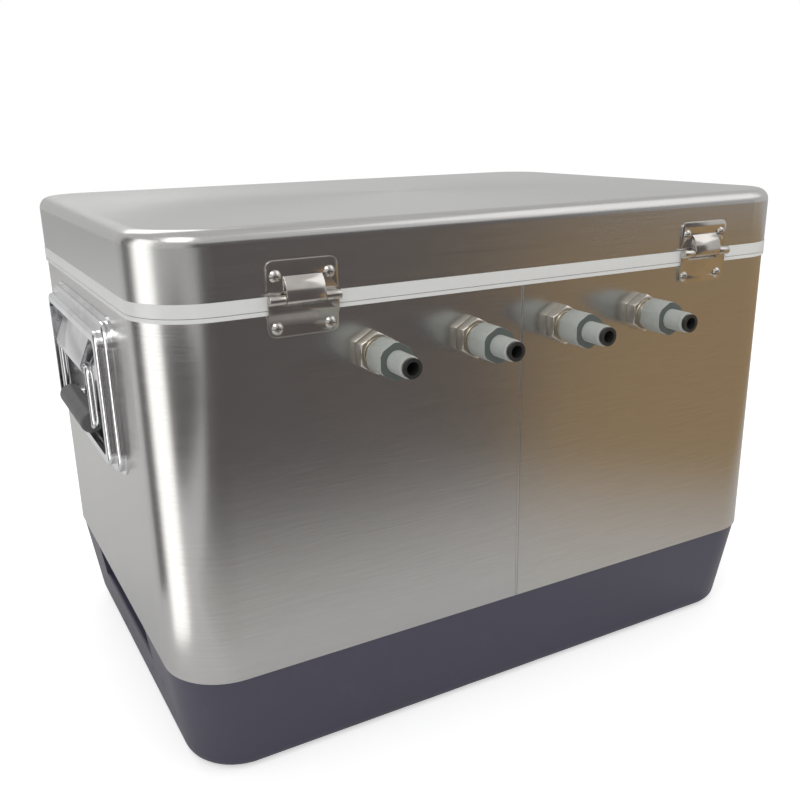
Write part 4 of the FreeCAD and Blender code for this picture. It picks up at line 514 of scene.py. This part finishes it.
# %% Give every solid its finish
LINES = range(1, 5)
FINISHES = {
    belt_finish: ["steel_belt"],
    lid_finish: ["lid_shell"],
    base_finish: ["base_tub"],
    liner_finish: ["inner_liner", "lid_liner"],
    foam_finish: ["foam_insulation", "lid_foam"],
    hinge_finish: ["hinge_body_leaves", "hinge_lid_leaves", "hinge_pins", "body_screws",
                   "lid_screws", "latch_leaf", "latch_pin", "latch_clasp", "latch_striker",
                   "handle_rivets"],
    chrome_finish: ["handle_%s_%s" % (piece, end) for piece in ("dish", "bracket", "bail")
                    for end in ("left", "right")],
    grip_finish: ["handle_grip_left", "handle_grip_right"],
    drain_finish: ["drain_spout", "drain_nut", "drain_cap"],
    shank_finish: ["inlet_shanks", "inlet_locknuts", "faucet_shanks", "faucet_shank_nuts"],
    fitting_finish: ["inlet_adaptors"],
    collet_finish: ["inlet_collet_%d" % number for number in LINES],
    tube_finish: ["inlet_tubes", "outlet_tubes"],
    plate_finish: ["cold_plate"],
    faucet_finish: ["faucet_wall_flanges", "faucet_coupling_nuts", "faucet_bonnets"]
    + ["faucet_%s_%d" % (piece, number) for piece in ("body", "lever", "shaft")
       for number in LINES],
    knob_finish: ["tap_handle_%d" % number for number in LINES],
}
finished = []
for material, names in FINISHES.items():
    for name in names:
        nodes[name].data.materials.clear()
        nodes[name].data.materials.append(material)
        finished.append(name)
print(len(finished), "solids finished; left over:", sorted(set(nodes) - set(finished)))

# %% [markdown]
# A real edge is never knife sharp, and its small round catches a line of light: that line is
# what makes a stamped hinge or a cast faucet look solid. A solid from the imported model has
# sharp edges, so its copy is welded, its flat faces are joined, its sharp edges are bevelled,
# and the copy is shown in its place. A bevel on the solid itself would split every triangle.

# %% Ease the edges of a solid
WELD_GAP = 2e-6
FLAT_WITHIN = math.radians(0.6)
SHARP_PAST = math.radians(38)
SMOOTH_WITHIN = math.radians(32)


def alone(item):
    """Select one object and nothing else."""
    bpy.ops.object.select_all(action="DESELECT")
    item.select_set(True)
    bpy.context.view_layer.objects.active = item


def eased(name, width, segments=2):
    """Show a copy of a solid with its sharp edges rounded."""
    solid = nodes[name]
    copy = bpy.data.objects.new(name + "_eased", solid.data.copy())
    bpy.context.scene.collection.objects.link(copy)
    alone(copy)
    if copy.data.has_custom_normals:
        bpy.ops.mesh.customdata_custom_splitnormals_clear()
    bpy.ops.object.mode_set(mode="EDIT")
    bpy.ops.mesh.select_mode(type="EDGE")
    bpy.ops.mesh.select_all(action="SELECT")
    bpy.ops.mesh.remove_doubles(threshold=WELD_GAP)
    bpy.ops.mesh.dissolve_limited(angle_limit=FLAT_WITHIN)
    bpy.ops.object.mode_set(mode="OBJECT")
    bevel = copy.modifiers.new("ease", "BEVEL")
    bevel.width = width
    bevel.segments = segments
    bevel.limit_method = "ANGLE"
    bevel.angle_limit = SHARP_PAST
    bevel.use_clamp_overlap = False
    bpy.ops.object.modifier_apply(modifier="ease")
    bpy.ops.object.shade_smooth_by_angle(angle=SMOOTH_WITHIN)
    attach(copy, solid["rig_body"])
    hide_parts(name)


EDGE_WIDTHS = {
    0.0004: ["hinge_body_leaves", "hinge_lid_leaves", "latch_leaf", "latch_clasp",
             "latch_striker", "handle_bracket_left", "handle_bracket_right"],
    0.0005: ["inlet_locknuts", "faucet_shank_nuts", "faucet_coupling_nuts", "faucet_bonnets",
             "drain_nut", "drain_spout", "drain_cap"],
    0.0002: ["inlet_adaptors"],
}
for edge_width, names in EDGE_WIDTHS.items():
    for name in names:
        eased(name, edge_width)
for number in LINES:
    eased("faucet_body_%d" % number, 0.0006, segments=3)
    eased("tap_handle_%d" % number, 0.0008, segments=3)

# %% [markdown]
# Between each locknut and its adaptor a few turns of the shank's thread show. A thread is a
# three-cornered profile carried round the shank while it moves along it: the Screw modifier
# does both. One thread is made, and the other three are copies of it moved along the row.

# %% Threads on the inlet shanks
BACK_FACE = 0.215
PORT_HEIGHT = 0.335
INLET_FIRST = -0.12325
INLET_PITCH = 0.0875
THREAD_START = BACK_FACE + 0.01095
THREAD_PITCH = 0.0014
THREAD_TURNS = 3
TURN_STEPS = 32
PROFILE_RADIUS = 0.00075
PROFILE_PLACE = 0.01075
ROUND_WITHIN = math.radians(40)


def added(item, material, like):
    """Name the finish of an extra piece, and let it ride and be booked like a solid."""
    item.data.materials.clear()
    item.data.materials.append(material)
    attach(item, nodes[like]["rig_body"])


bpy.ops.object.select_all(action="DESELECT")
bpy.ops.mesh.primitive_circle_add(vertices=3, radius=PROFILE_RADIUS, location=(0, 0, 0))
thread = bpy.context.active_object
thread.name = "inlet_thread_1"
bpy.ops.object.mode_set(mode="EDIT")
bpy.ops.mesh.select_all(action="SELECT")
bpy.ops.transform.rotate(value=math.radians(90), orient_axis="Z", center_override=(0, 0, 0))
bpy.ops.transform.translate(value=(PROFILE_PLACE, 0, 0))
bpy.ops.object.mode_set(mode="OBJECT")
helix = thread.modifiers.new("helix", "SCREW")
helix.axis = "Y"
helix.steps = helix.render_steps = TURN_STEPS
helix.iterations = THREAD_TURNS
helix.screw_offset = THREAD_PITCH
bpy.ops.object.modifier_apply(modifier="helix")
thread.location = (INLET_FIRST, THREAD_START, PORT_HEIGHT)
bpy.ops.object.transform_apply(location=True)
bpy.ops.object.mode_set(mode="EDIT")
bpy.ops.mesh.select_all(action="SELECT")
bpy.ops.mesh.remove_doubles(threshold=1e-6)
bpy.ops.mesh.fill_holes(sides=3)
bpy.ops.mesh.normals_make_consistent(inside=False)
bpy.ops.object.mode_set(mode="OBJECT")
bpy.ops.object.shade_smooth_by_angle(angle=ROUND_WITHIN)
threads = [thread]
for number in LINES[1:]:
    alone(thread)
    bpy.ops.object.duplicate()
    twin = bpy.context.active_object
    twin.name = "inlet_thread_%d" % number
    twin.location.x += (number - 1) * INLET_PITCH
    bpy.ops.object.transform_apply(location=True)
    threads.append(twin)
for item in threads:
    added(item, shank_finish, "inlet_shanks")
print(len(threads), "threads")

# %% [markdown]
# The belt is one strip whose ends meet up the back. One end is folded over, and the fold shows
# as a narrow bright line beside the dark joint. It is a long box with its edges rounded over.

# %% The belt's folded end
FOLD_PLACE = (0.0033, BACK_FACE + 0.0001, 0.2315)
FOLD_SIZE = (0.0017, 0.0006, 0.2786)
FOLD_ROUND = 0.0002

bpy.ops.object.select_all(action="DESELECT")
bpy.ops.mesh.primitive_cube_add(size=1, location=FOLD_PLACE)
fold = bpy.context.active_object
fold.name = "belt_fold"
fold.scale = FOLD_SIZE
bpy.ops.object.transform_apply(location=True, scale=True)
round_over = fold.modifiers.new("round_over", "BEVEL")
round_over.width = FOLD_ROUND
round_over.segments = 3
bpy.ops.object.modifier_apply(modifier="round_over")
bpy.ops.object.shade_smooth_by_angle(angle=ROUND_WITHIN)
added(fold, belt_finish, "steel_belt")
print("belt fold", len(fold.data.polygons), "faces")
